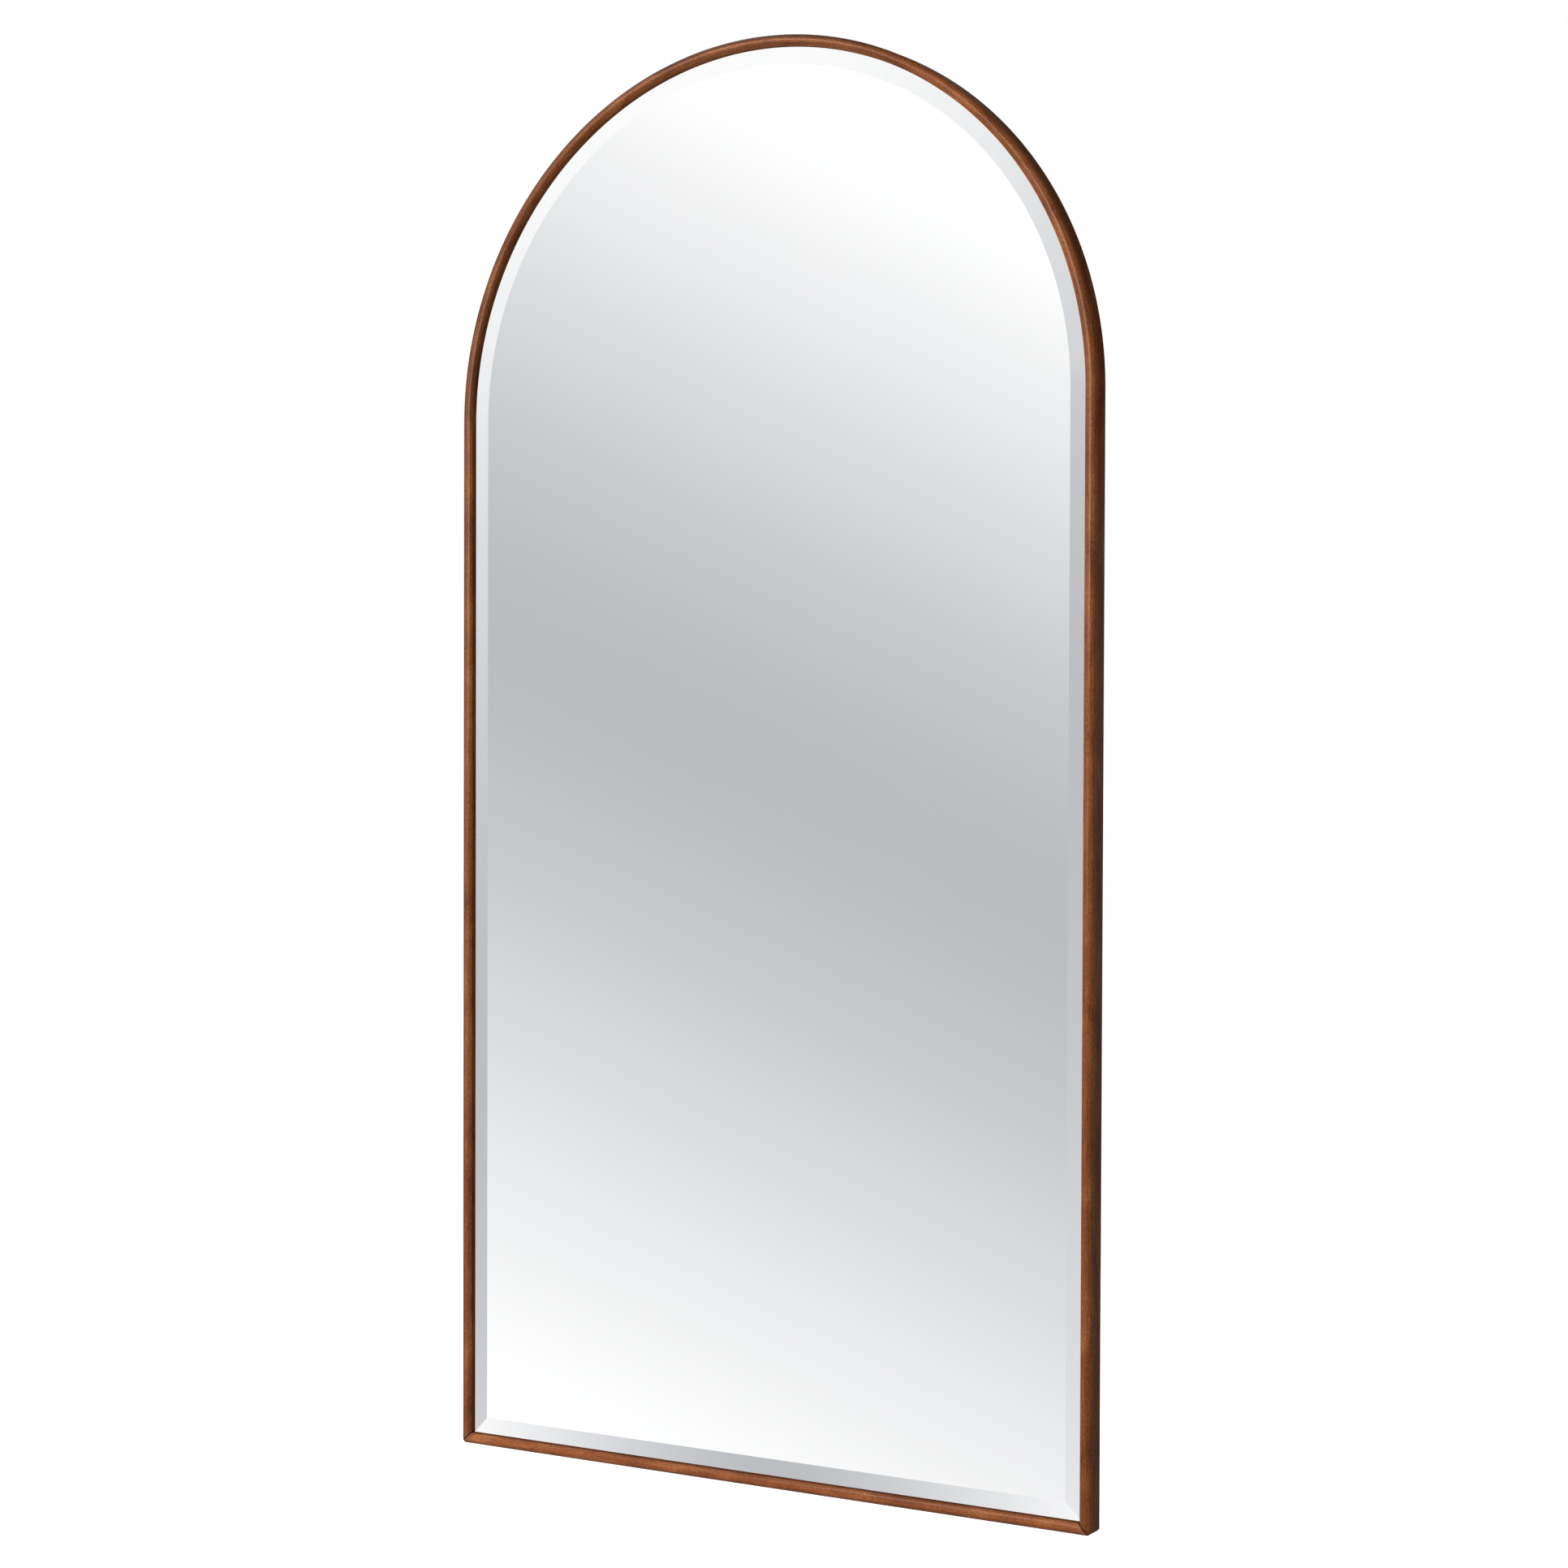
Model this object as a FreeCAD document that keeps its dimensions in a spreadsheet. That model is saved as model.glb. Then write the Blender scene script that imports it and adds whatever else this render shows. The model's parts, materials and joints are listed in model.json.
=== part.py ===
"""Arched wall mirror: a crowned hardwood frame round a bevelled, silvered glass plate.

Millimetres. X runs to the right as seen from the front, Z is up and Y runs back into the wall.
The origin is on the wall plane, at the foot of the bottom rail's middle, so the front faces -Y.
"""
import FreeCAD, Part
import math
import os
import Sketcher
from FreeCAD import Vector

# Driving sizes, each set by itself
DIMS = {
    # Frame moulding
    "overall_width": "914",
    "overall_height": "1806",
    "frame_depth": "30",
    "face_width": "14",
    "crown_rise": "4",
    "arris_radius": "1",
    "corner_radius": "5",
    "lip_depth": "8",
    "rabbet_width": "5",
    # Loose tenons between the arch and the stiles
    "tenon_cover": "4.5",
    "tenon_length": "40",
    "joint_clearance": "0.1",
    "tenon_end_gap": "0.5",
    # V-nails across the bottom mitres
    "nail_cover": "2.25",
    "nail_thickness": "0.6",
    "nail_height": "12",
    # Glass plate and the blocks under it
    "glass_thickness": "6",
    "bevel_width": "25",
    "bevel_edge": "2",
    "glass_clearance": "1.5",
    "seat_gap": "0.3",
    "block_length": "40",
    "block_inset": "200",
    # Mirror tape and backing board
    "tape_thickness": "1",
    "tape_width": "25",
    "tape_side_margin": "60",
    "tape_end_margin": "25",
    "board_thickness": "7",
    "board_clearance": "0.5",
    # Glazier's points that keep the board in
    "point_length": "12",
    "point_width": "6",
    "point_thickness": "0.8",
    "point_cover": "4",
    # Strap hangers, their D-rings and screws
    "hanger_inset": "157",
    "hanger_drop": "100",
    "strap_width": "18",
    "strap_length": "54",
    "strap_thickness": "1.2",
    "strap_end_radius": "5",
    "wire_diameter": "3.2",
    "loop_clearance": "0.3",
    "ring_bar": "20",
    "ring_corner": "4",
    "ring_leg": "2",
    "screw_diameter": "4",
    "screw_length": "7",
    "screw_tip": "2",
    "head_diameter": "8",
    "head_height": "2.4",
    "screw_pitch": "16",
    "screw_end": "8",
    "hole_clearance": "0.25",
    "pilot_clearance": "0.05",
    "pilot_end_gap": "0.5",
}

# Sizes and places that follow from the driving ones
LAYOUT = {
    # Frame, across its face and from its front to the wall plane
    "half_width": "=dims.overall_width / 2",
    "springing": "=dims.overall_height - half_width",
    "wall": "=dims.face_width - dims.rabbet_width",
    "sight_half": "=half_width - dims.face_width",
    "wall_half": "=half_width - wall",
    "crown_front": "=-dims.frame_depth",
    "crown_edge": "=crown_front + dims.crown_rise",
    "crown_centre": "=crown_front + dims.face_width^2 / (8 * dims.crown_rise) + dims.crown_rise / 2",
    "lip_back": "=crown_edge + dims.lip_depth",
    "stile_middle": "=half_width - dims.face_width / 2",
    "rail_middle": "=dims.face_width / 2",
    # Bottom mitre, with its eased outer corner
    "ease_centre": "=half_width - dims.corner_radius",
    "ease_rise": "=dims.corner_radius * (1 - 1 / sqrt(2))",
    "ease_middle": "=half_width - ease_rise",
    "cut_outside": "=half_width + dims.face_width",
    "cut_reach": "=2 * dims.face_width",
    "cut_inside": "=half_width - cut_reach",
    # Loose tenons in the middle third of the rabbet wall
    "tenon_thickness": "=wall / 3",
    "tenon_left_face": "=half_width - wall / 2 - tenon_thickness / 2",
    "tenon_front": "=lip_back + dims.tenon_cover",
    "tenon_width": "=-tenon_front - dims.tenon_cover",
    "mortise_in": "=tenon_left_face - dims.joint_clearance",
    "mortise_out": "=tenon_left_face + tenon_thickness + dims.joint_clearance",
    "mortise_front": "=tenon_front - dims.joint_clearance",
    "mortise_back": "=tenon_front + tenon_width + dims.joint_clearance",
    "mortise_depth": "=dims.tenon_length / 2 + dims.tenon_end_gap",
    "tenon_foot": "=springing - dims.tenon_length / 2",
    # V-nails, with the bend on the mitre line and a leg in each member
    "nail_leg": "=wall - 2 * dims.nail_cover",
    "nail_outer": "=half_width - dims.nail_cover",
    "nail_inner": "=nail_outer - dims.nail_thickness",
    "nail_rail_end": "=nail_outer - nail_leg",
    "nail_stile_end": "=dims.nail_cover + nail_leg",
    "nail_rail_top": "=dims.nail_cover + dims.nail_thickness",
    # Glass plate behind the lip
    "glass_half": "=wall_half - dims.glass_clearance",
    "glass_foot": "=wall + dims.glass_clearance",
    "glass_cover": "=dims.rabbet_width - dims.glass_clearance",
    "bevel_drop": "=dims.glass_thickness - dims.bevel_edge",
    "glass_edge": "=lip_back + dims.seat_gap + glass_cover * bevel_drop / dims.bevel_width",
    "glass_back": "=glass_edge + dims.bevel_edge",
    # Tape and board behind the glass
    "board_front": "=glass_back + dims.tape_thickness",
    "board_back": "=board_front + dims.board_thickness",
    "board_half": "=wall_half - dims.board_clearance",
    "board_foot": "=wall + dims.board_clearance",
    "block_depth": "=board_front - lip_back",
    "tape_reach": "=glass_half - dims.tape_side_margin - dims.tape_width / 2",
    "tape_foot": "=glass_foot + dims.tape_end_margin",
    "tape_round": "=glass_half - dims.tape_end_margin",
    # Glazier's points
    "point_half": "=dims.point_width / 2",
    "point_bite": "=wall - dims.point_cover",
    "point_tail": "=dims.point_length - point_bite",
    # Hangers, measured from the ring's axis
    "hanger_half": "=half_width - dims.hanger_inset",
    "hanger_height": "=springing - dims.hanger_drop",
    "wire_radius": "=dims.wire_diameter / 2",
    "wire_far": "=wire_radius * cos(180 deg / 8)",
    "wire_near": "=wire_radius * sin(180 deg / 8)",
    "loop_inner": "=wire_radius + dims.loop_clearance",
    "loop_outer": "=loop_inner + dims.strap_thickness",
    "ring_bar_half": "=dims.ring_bar / 2",
    "ring_half": "=ring_bar_half + dims.ring_corner",
    "ring_bend": "=dims.ring_corner + dims.ring_leg",
    "screw_low": "=dims.strap_length - dims.screw_end",
    "screw_high": "=screw_low - dims.screw_pitch",
    "strap_hole": "=dims.screw_diameter / 2 + dims.hole_clearance",
    "screw_seat": "=board_back + dims.strap_thickness",
    "shank_radius": "=dims.screw_diameter / 2",
    "shank_end": "=dims.screw_length - dims.screw_tip",
    "head_radius": "=dims.head_diameter / 2",
    "pilot_radius": "=shank_radius + dims.pilot_clearance",
    "pilot_depth": "=dims.screw_length - dims.strap_thickness + dims.pilot_end_gap",
    "pilot_low": "=hanger_height - screw_low",
    "pilot_high": "=hanger_height - screw_high",
}

TAPE_STRIPS = 5
STILE_POINTS = 6
RAIL_POINTS = 4
ARCH_POINTS = 7
SIDES = {"left": -1, "right": 1}
TOLERANCE = 1e-4

doc = FreeCAD.newDocument("arched_mirror")


def add_sheet(name, cells):
    """A sheet with one named value in each row."""
    sheet = doc.addObject("Spreadsheet::Sheet", name)
    for row, (alias, text) in enumerate(cells.items(), start=1):
        sheet.set(f"A{row}", alias)
        sheet.set(f"B{row}", text)
        sheet.setAlias(f"B{row}", alias)
    return sheet


SHEETS = {"dims": add_sheet("dims", DIMS), "layout": add_sheet("layout", LAYOUT)}
doc.recompute()


def number(text):
    """Present value of "0", "sheet.alias" or "-sheet.alias"."""
    if text == "0":
        return 0.0
    sheet, alias = text.lstrip("-").split(".")
    size = float(getattr(SHEETS[sheet], alias))
    return -size if text.startswith("-") else size


def opposite(text):
    """The same distance on the other side of zero."""
    if text == "0":
        return text
    return text[1:] if text.startswith("-") else f"-{text}"


def bind(item, **places):
    """Ties properties to named values; x, y and z stand for the item's place."""
    for name, text in places.items():
        item.setExpression(f"Placement.Base.{name}" if name in "xyz" else name, text)


def add_body(label):
    body = doc.addObject("PartDesign::Body", label)
    body.Label = label
    return body


def origin_feature(body, role):
    return next(item for item in body.Origin.OriginFeatures if item.Role == role)


def add_sketch(body, name, role, height=None):
    """Sketch on one of the body's own planes, moved along its normal by height."""
    sketch = body.newObject("Sketcher::SketchObject", name)
    sketch.AttachmentSupport = [(origin_feature(body, role), "")]
    sketch.MapMode = "FlatFace"
    if height:
        sketch.setExpression("AttachmentOffset.Base.z", height)
    return sketch


def bind_coordinate(sketch, geometry, position, axis, text):
    """Ties one coordinate of a sketch point to a named value."""
    if text == "0":
        line = {"x": -2, "y": -1}[axis]
        sketch.addConstraint(Sketcher.Constraint("PointOnObject", geometry, position, line))
        return
    kind = {"x": "DistanceX", "y": "DistanceY"}[axis]
    rule = Sketcher.Constraint(kind, -1, 1, geometry, position, number(text))
    sketch.setExpression(f"Constraints[{sketch.addConstraint(rule)}]", text)


def arc_between(first, last, centre, turn):
    """Circular arc from first to last, anticlockwise for a positive turn."""
    start, stop = (first, last) if turn > 0 else (last, first)
    begin = math.atan2(start.y - centre.y, start.x - centre.x)
    end = math.atan2(stop.y - centre.y, stop.x - centre.x)
    if end <= begin:
        end += 2 * math.pi
    circle = Part.Circle(centre, Vector(0, 0, 1), centre.distanceToPoint(first))
    return Part.ArcOfCircle(circle, begin, end)


def add_outline(sketch, corners, arcs=None):
    """Closed outline through corners of named values.

    arcs gives, for each side that is round, its centre, the centre's coordinate to hold and its turn.
    """
    arcs = arcs or {}
    points = [Vector(number(x), number(y), 0) for x, y in corners]
    ends = []
    for side, first in enumerate(points):
        last = points[(side + 1) % len(points)]
        if side in arcs:
            (x, y), _, turn = arcs[side]
            arc = arc_between(first, last, Vector(number(x), number(y), 0), turn)
            index = sketch.addGeometry(arc, False)
            ends.append((index, 1, 2) if turn > 0 else (index, 2, 1))
        else:
            index = sketch.addGeometry(Part.LineSegment(first, last), False)
            ends.append((index, 1, 2))
    for side, (index, first, last) in enumerate(ends):
        following, start, _ = ends[(side + 1) % len(ends)]
        sketch.addConstraint(Sketcher.Constraint("Coincident", index, last, following, start))
        for axis, text in zip("xy", corners[side]):
            bind_coordinate(sketch, index, first, axis, text)
    for side, (centre, axis, _) in arcs.items():
        bind_coordinate(sketch, ends[side][0], 3, axis, centre["xy".index(axis)])


def add_circle(sketch, centre, radius):
    """Circle of a named radius about a point of named values."""
    middle = Vector(number(centre[0]), number(centre[1]), 0)
    index = sketch.addGeometry(Part.Circle(middle, Vector(0, 0, 1), number(radius)), False)
    rule = sketch.addConstraint(Sketcher.Constraint("Radius", index, number(radius)))
    sketch.setExpression(f"Constraints[{rule}]", radius)
    for axis, text in zip("xy", centre):
        bind_coordinate(sketch, index, 3, axis, text)


def add_feature(body, kind, name, sketch, length=None, **settings):
    """Pad, pocket or revolution of a sketch."""
    feature = body.newObject(f"PartDesign::{kind}", name)
    feature.Profile = sketch
    for setting, choice in settings.items():
        setattr(feature, setting, choice)
    if length:
        feature.setExpression("Length", length)
    doc.recompute()
    return feature


def edges_in_plane(shape, axis, level):
    """Names of the edges that lie wholly in the plane where X, Y or Z equals level."""
    names = []
    for index, edge in enumerate(shape.Edges, start=1):
        box = edge.BoundBox
        if abs(getattr(box, f"{axis}Min") - level) + getattr(box, f"{axis}Length") < TOLERANCE:
            names.append(f"Edge{index}")
    return names


def add_fillet(body, name, base, edges, radius):
    fillet = body.newObject("PartDesign::Fillet", name)
    fillet.Base = (base, edges)
    fillet.setExpression("Radius", radius)
    doc.recompute()
    return fillet


def add_mirror(source, label):
    """The same piece on the other side of the middle plane."""
    copy = doc.addObject("Part::Mirroring", label)
    copy.Label = label
    copy.Source = source
    copy.Base = Vector(0, 0, 0)
    copy.Normal = Vector(1, 0, 0)
    return copy


def add_group(label, items):
    """One node for a set of loose, alike pieces."""
    group = doc.addObject("Part::Compound", label)
    group.Label = label
    group.Links = items
    return group


def add_cut(label, base, tool):
    """A piece with the room that another piece takes up in it."""
    cut = doc.addObject("Part::Cut", label)
    cut.Label = label
    cut.Base = base
    cut.Tool = tool
    return cut


def moulding_section(body, role, outer, sight, wall, middle):
    """Section of the frame: a crowned face, the lip in front of the glass and the rabbet wall."""
    corners = [
        (outer, "layout.crown_edge"),
        (sight, "layout.crown_edge"),
        (sight, "layout.lip_back"),
        (wall, "layout.lip_back"),
        (wall, "0"),
        (outer, "0"),
    ]
    centre = (middle, "layout.crown_centre")
    held = "y"
    if role == "YZ_Plane":
        corners = [corner[::-1] for corner in corners]
        centre = centre[::-1]
        held = "x"
    sketch = add_sketch(body, f"{body.Label}_section", role)
    add_outline(sketch, corners, {0: (centre, held, -1)})
    return sketch


def upright_section(body):
    """The section as it stands at the springing line on the right."""
    across = ("layout.half_width", "layout.sight_half", "layout.wall_half", "layout.stile_middle")
    return moulding_section(body, "XY_Plane", *across)


def ease_arrises(body, base):
    """Rounds the two arrises where the crown meets the sides."""
    edges = edges_in_plane(base.Shape, "Y", number("layout.crown_edge"))
    return add_fillet(body, f"{body.Label}_arrises", base, edges, "dims.arris_radius")


def cut_mitre(body, corners, turn):
    """Mitre cut on the right, ending in half of the eased outer corner."""
    sketch = add_sketch(body, f"{body.Label}_mitre_line", "XZ_Plane")
    centre = ("layout.ease_centre", "dims.corner_radius")
    add_outline(sketch, corners, {1: (centre, "y", turn)})
    settings = {"Type": "ThroughAll", "SideType": "Symmetric"}
    return add_feature(body, "Pocket", f"{body.Label}_mitre", sketch, **settings)


def add_mortise_outline(sketch, side):
    """Mouth of a mortise in the rabbet wall, on the right or on the left."""
    sign = "-" if side < 0 else ""
    inner = f"{sign}layout.mortise_in"
    outer = f"{sign}layout.mortise_out"
    front = "layout.mortise_front"
    back = "layout.mortise_back"
    add_outline(sketch, [(inner, front), (outer, front), (outer, back), (inner, back)])


def make_stile():
    """Right stile: the section run up to the springing line, mitred at its foot."""
    body = add_body("stile_run")
    run = add_feature(body, "Pad", "stile_length", upright_section(body), "layout.springing")
    ease_arrises(body, run)
    cut_mitre(body, [
        ("layout.cut_outside", "dims.corner_radius"),
        ("layout.half_width", "dims.corner_radius"),
        ("layout.ease_middle", "layout.ease_rise"),
        ("layout.cut_inside", "layout.cut_reach"),
        ("layout.cut_inside", "-dims.face_width"),
        ("layout.cut_outside", "-dims.face_width"),
    ], -1)
    mouth = add_sketch(body, "stile_mortise_mouth", "XY_Plane", "layout.springing")
    add_mortise_outline(mouth, 1)
    add_feature(body, "Pocket", "stile_mortise", mouth, "layout.mortise_depth")
    return body


def make_bottom_rail():
    """Bottom rail: the section run across, mitred at both ends."""
    body = add_body("rail_run")
    across = ("0", "dims.face_width", "layout.wall", "layout.rail_middle")
    section = moulding_section(body, "YZ_Plane", *across)
    run = add_feature(body, "Pad", "rail_length", section, "dims.overall_width", SideType="Symmetric")
    ease_arrises(body, run)
    mitre = cut_mitre(body, [
        ("layout.ease_centre", "-dims.face_width"),
        ("layout.ease_centre", "0"),
        ("layout.ease_middle", "layout.ease_rise"),
        ("layout.cut_inside", "layout.cut_reach"),
        ("layout.cut_outside", "layout.cut_reach"),
        ("layout.cut_outside", "-dims.face_width"),
    ], 1)
    both = body.newObject("PartDesign::Mirrored", "rail_mitres")
    both.Originals = [mitre]
    both.MirrorPlane = (origin_feature(body, "YZ_Plane"), [""])
    body.Tip = both
    return body


def make_arch():
    """Arch: the section carried half round the middle of the springing line."""
    body = add_body("arch_run")
    bind(body, z="layout.springing")
    section = upright_section(body)
    bend = add_feature(
        body, "Revolution", "arch_bend", section,
        ReferenceAxis=(section, ["V_Axis"]), Angle=180, Reversed=True,
    )
    ease_arrises(body, bend)
    mouths = add_sketch(body, "arch_mortise_mouths", "XY_Plane")
    for side in SIDES.values():
        add_mortise_outline(mouths, side)
    add_feature(body, "Pocket", "arch_mortises", mouths, "layout.mortise_depth", Reversed=True)
    return body


def make_block(label, x, y, z, length, width, height):
    """Square-edged piece from its lowest corner."""
    block = doc.addObject("Part::Box", label)
    block.Label = label
    bind(block, x=x, y=y, z=z, Length=length, Width=width, Height=height)
    return block


def make_tenon():
    return make_block(
        "arch_tenon_right", "layout.tenon_left_face", "layout.tenon_front", "layout.tenon_foot",
        "layout.tenon_thickness", "layout.tenon_width", "dims.tenon_length",
    )


def make_mitre_nails():
    """V-nails: bent strips driven flush from the back, one leg in the rail and one in the stile."""
    body = add_body("mitre_nail")
    sketch = add_sketch(body, "mitre_nail_bend", "XZ_Plane")
    add_outline(sketch, [
        ("layout.nail_outer", "dims.nail_cover"),
        ("layout.nail_outer", "layout.nail_stile_end"),
        ("layout.nail_inner", "layout.nail_stile_end"),
        ("layout.nail_inner", "layout.nail_rail_top"),
        ("layout.nail_rail_end", "layout.nail_rail_top"),
        ("layout.nail_rail_end", "dims.nail_cover"),
    ])
    add_feature(body, "Pad", "mitre_nail_strip", sketch, "dims.nail_height")
    return add_group("mitre_nails", [body, add_mirror(body, "mitre_nail_left")])


def arched_plate(label, half, foot, back, thickness):
    """Flat plate with a half-round top, its back face at the given depth."""
    body = add_body(label)
    bind(body, y=back)
    sketch = add_sketch(body, f"{label}_outline", "XZ_Plane")
    corners = [(f"-{half}", foot), (half, foot), (half, "layout.springing"), (f"-{half}", "layout.springing")]
    add_outline(sketch, corners, {2: (("0", "layout.springing"), "y", 1)})
    return body, add_feature(body, "Pad", f"{label}_plate", sketch, thickness)


def make_glass():
    """Glass plate, ground to a wide bevel round its whole front edge."""
    body, plate = arched_plate(
        "mirror_glass", "layout.glass_half", "layout.glass_foot", "layout.glass_back", "dims.glass_thickness"
    )
    bevel = body.newObject("PartDesign::Chamfer", "glass_bevel")
    bevel.Base = (plate, edges_in_plane(plate.Shape, "Y", -number("dims.glass_thickness")))
    bevel.ChamferType = "Two distances"
    bevel.setExpression("Size", "layout.bevel_drop")
    bevel.setExpression("Size2", "dims.bevel_width")
    doc.recompute()
    return body


def make_setting_block():
    """Rubber block between the rabbet and the foot of the glass."""
    return make_block(
        "setting_block_right", "layout.half_width - dims.block_inset - dims.block_length / 2",
        "layout.lip_back", "layout.wall",
        "dims.block_length", "layout.block_depth", "dims.glass_clearance",
    )


def make_tape_strips():
    """Upright strips of mirror tape, each as long as the arch leaves room for."""
    strips = []
    steps = (TAPE_STRIPS - 1) / 2
    for index in range(TAPE_STRIPS):
        share = (index - steps) / steps
        middle = f"({share} * layout.tape_reach)"
        corner = f"(abs({middle}) + dims.tape_width / 2)"
        top = f"layout.springing + sqrt(layout.tape_round^2 - {corner}^2)"
        strips.append(make_block(
            f"foam_tape_{index + 1}",
            f"{middle} - dims.tape_width / 2", "layout.glass_back", "layout.tape_foot",
            "dims.tape_width", "dims.tape_thickness", f"{top} - layout.tape_foot",
        ))
    return strips


def make_board():
    """Backing board, with pilot holes for the hanger screws."""
    body, plate = arched_plate(
        "backing_board", "layout.board_half", "layout.board_foot", "layout.board_back", "dims.board_thickness"
    )
    sketch = add_sketch(body, "pilot_places", "XZ_Plane")
    for sign in ("", "-"):
        for height in ("layout.pilot_low", "layout.pilot_high"):
            add_circle(sketch, (f"{sign}layout.hanger_half", height), "layout.pilot_radius")
    add_feature(body, "Pocket", "pilot_holes", sketch, "layout.pilot_depth", Reversed=True)
    return body


def make_point():
    """Glazier's point: a flat steel tongue with a spear tip, its tail on the board and its tip along X."""
    body = add_body("retaining_point")
    sketch = add_sketch(body, "point_outline", "XZ_Plane")
    add_outline(sketch, [
        ("-layout.point_tail", "-layout.point_half"),
        ("0", "-layout.point_half"),
        ("layout.point_bite", "0"),
        ("0", "layout.point_half"),
        ("-layout.point_tail", "layout.point_half"),
    ])
    add_feature(body, "Pad", "point_plate", sketch, "dims.point_thickness", Reversed=True)
    return body


def copy_of(body, x, y, z, turn=0):
    """A copy at a place of named values, turned up from X towards Z by an angle in degrees."""
    copy = doc.addObject("App::Link", f"{body.Label}_copy")
    copy.LinkedObject = body
    copy.LinkTransform = True
    copy.Placement = FreeCAD.Placement(Vector(0, 0, 0), FreeCAD.Rotation(Vector(0, -1, 0), turn))
    bind(copy, x=x, y=y, z=z)
    return copy


def make_retaining_points():
    """Points pressed into the rabbet wall all round, lying on the back of the board."""
    point = make_point()
    depth = "layout.board_back"
    copies = []
    for index in range(STILE_POINTS):
        height = f"{(index + 0.5) / STILE_POINTS} * layout.springing"
        copies.append(copy_of(point, "layout.wall_half", depth, height))
        copies.append(copy_of(point, "-layout.wall_half", depth, height, 180))
    for index in range(RAIL_POINTS):
        place = f"{(2 * index + 1) / RAIL_POINTS - 1} * layout.wall_half"
        copies.append(copy_of(point, place, depth, "layout.wall", -90))
    for index in range(ARCH_POINTS):
        turn = 180 * (index + 0.5) / ARCH_POINTS
        across = f"layout.wall_half * cos({turn} deg)"
        height = f"layout.springing + layout.wall_half * sin({turn} deg)"
        copies.append(copy_of(point, across, depth, height, turn))
    return add_group("retaining_points", copies)


def make_hanger_plate(name, side):
    """Strap hanger: a flat strap whose upper end is rolled into a loop round the ring's bar."""
    body = add_body(f"hanger_plate_{name}")
    bind(body, x=f"{side} * layout.hanger_half", y="layout.board_back", z="layout.hanger_height")
    sketch = add_sketch(body, f"strap_profile_{name}", "YZ_Plane")
    centre = ("layout.loop_outer", "0")
    add_outline(sketch, [
        ("0", "-dims.strap_length"),
        ("0", "0"),
        ("layout.loop_outer", "-layout.loop_outer"),
        ("layout.loop_outer", "-layout.loop_inner"),
        ("dims.strap_thickness", "0"),
        ("dims.strap_thickness", "-dims.strap_length"),
    ], {1: (centre, "y", -1), 3: (centre, "y", 1)})
    strap = add_feature(body, "Pad", f"strap_{name}", sketch, "dims.strap_width", SideType="Symmetric")
    foot = set(edges_in_plane(strap.Shape, "Z", -number("dims.strap_length")))
    edge = number("dims.strap_width") / 2
    sides = edges_in_plane(strap.Shape, "X", -edge) + edges_in_plane(strap.Shape, "X", edge)
    corners = sorted(foot.intersection(sides))
    add_fillet(body, f"strap_foot_{name}", strap, corners, "dims.strap_end_radius")
    holes = add_sketch(body, f"strap_hole_places_{name}", "XZ_Plane")
    for height in ("-layout.screw_low", "-layout.screw_high"):
        add_circle(holes, ("0", height), "layout.strap_hole")
    settings = {"Type": "ThroughAll", "SideType": "Symmetric"}
    add_feature(body, "Pocket", f"strap_holes_{name}", holes, **settings)
    return body


def wire_corners():
    """Eight corners of the ring's bow, in section, a quarter turn at a time."""
    quarter = [("layout.wire_far", "layout.wire_near"), ("layout.wire_near", "layout.wire_far")]
    corners = []
    for _ in range(4):
        corners += quarter
        quarter = [(opposite(y), x) for x, y in quarter]
    return corners


def make_hanger_ring(name, side):
    """D-ring, hanging down: a round bar that turns in the loop, and a bow drawn with eight flats."""
    body = add_body(f"hanger_ring_{name}")
    depth = "layout.board_back + layout.loop_outer"
    bind(body, x=f"{side} * layout.hanger_half", y=depth, z="layout.hanger_height")
    bar = add_sketch(body, f"ring_bar_section_{name}", "YZ_Plane")
    add_circle(bar, ("0", "0"), "layout.wire_radius")
    add_feature(body, "Pad", f"ring_bar_{name}", bar, "dims.ring_bar", SideType="Symmetric")
    path = add_sketch(body, f"ring_path_{name}", "XZ_Plane")
    add_outline(path, [
        ("0", "0"),
        ("layout.ring_bar_half", "0"),
        ("layout.ring_half", "-dims.ring_corner"),
        ("layout.ring_half", "-layout.ring_bend"),
        ("-layout.ring_half", "-layout.ring_bend"),
        ("-layout.ring_half", "-dims.ring_corner"),
        ("-layout.ring_bar_half", "0"),
    ], {
        1: (("layout.ring_bar_half", "-dims.ring_corner"), "y", -1),
        3: (("0", "-layout.ring_bend"), "y", -1),
        5: (("-layout.ring_bar_half", "-dims.ring_corner"), "y", -1),
    })
    wire = add_sketch(body, f"ring_wire_{name}", "YZ_Plane")
    add_outline(wire, wire_corners())
    doc.recompute()
    bow = body.newObject("PartDesign::AdditivePipe", f"ring_bow_{name}")
    bow.Profile = wire
    bow.Spine = (path, [f"Edge{index + 1}" for index in range(path.GeometryCount)])
    doc.recompute()
    return body


def make_screw():
    """Flat-topped round-head screw along Y: the head's seat at zero, the shank running forward to its point."""
    body = add_body("hanger_screw")
    sketch = add_sketch(body, "screw_profile", "XY_Plane")
    add_outline(sketch, [
        ("0", "-dims.screw_length"),
        ("layout.shank_radius", "-layout.shank_end"),
        ("layout.shank_radius", "0"),
        ("layout.head_radius", "0"),
        ("layout.head_radius", "dims.head_height"),
        ("0", "dims.head_height"),
    ])
    add_feature(body, "Revolution", "screw_turned", sketch, ReferenceAxis=(sketch, ["V_Axis"]), Angle=360)
    return body


def make_hanger_screws():
    """Two screws through each strap into the board."""
    screw = make_screw()
    copies = []
    for side in SIDES.values():
        for height in ("layout.pilot_low", "layout.pilot_high"):
            copies.append(copy_of(screw, f"{side} * layout.hanger_half", "layout.screw_seat", height))
    return add_group("hanger_screws", copies)


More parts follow.
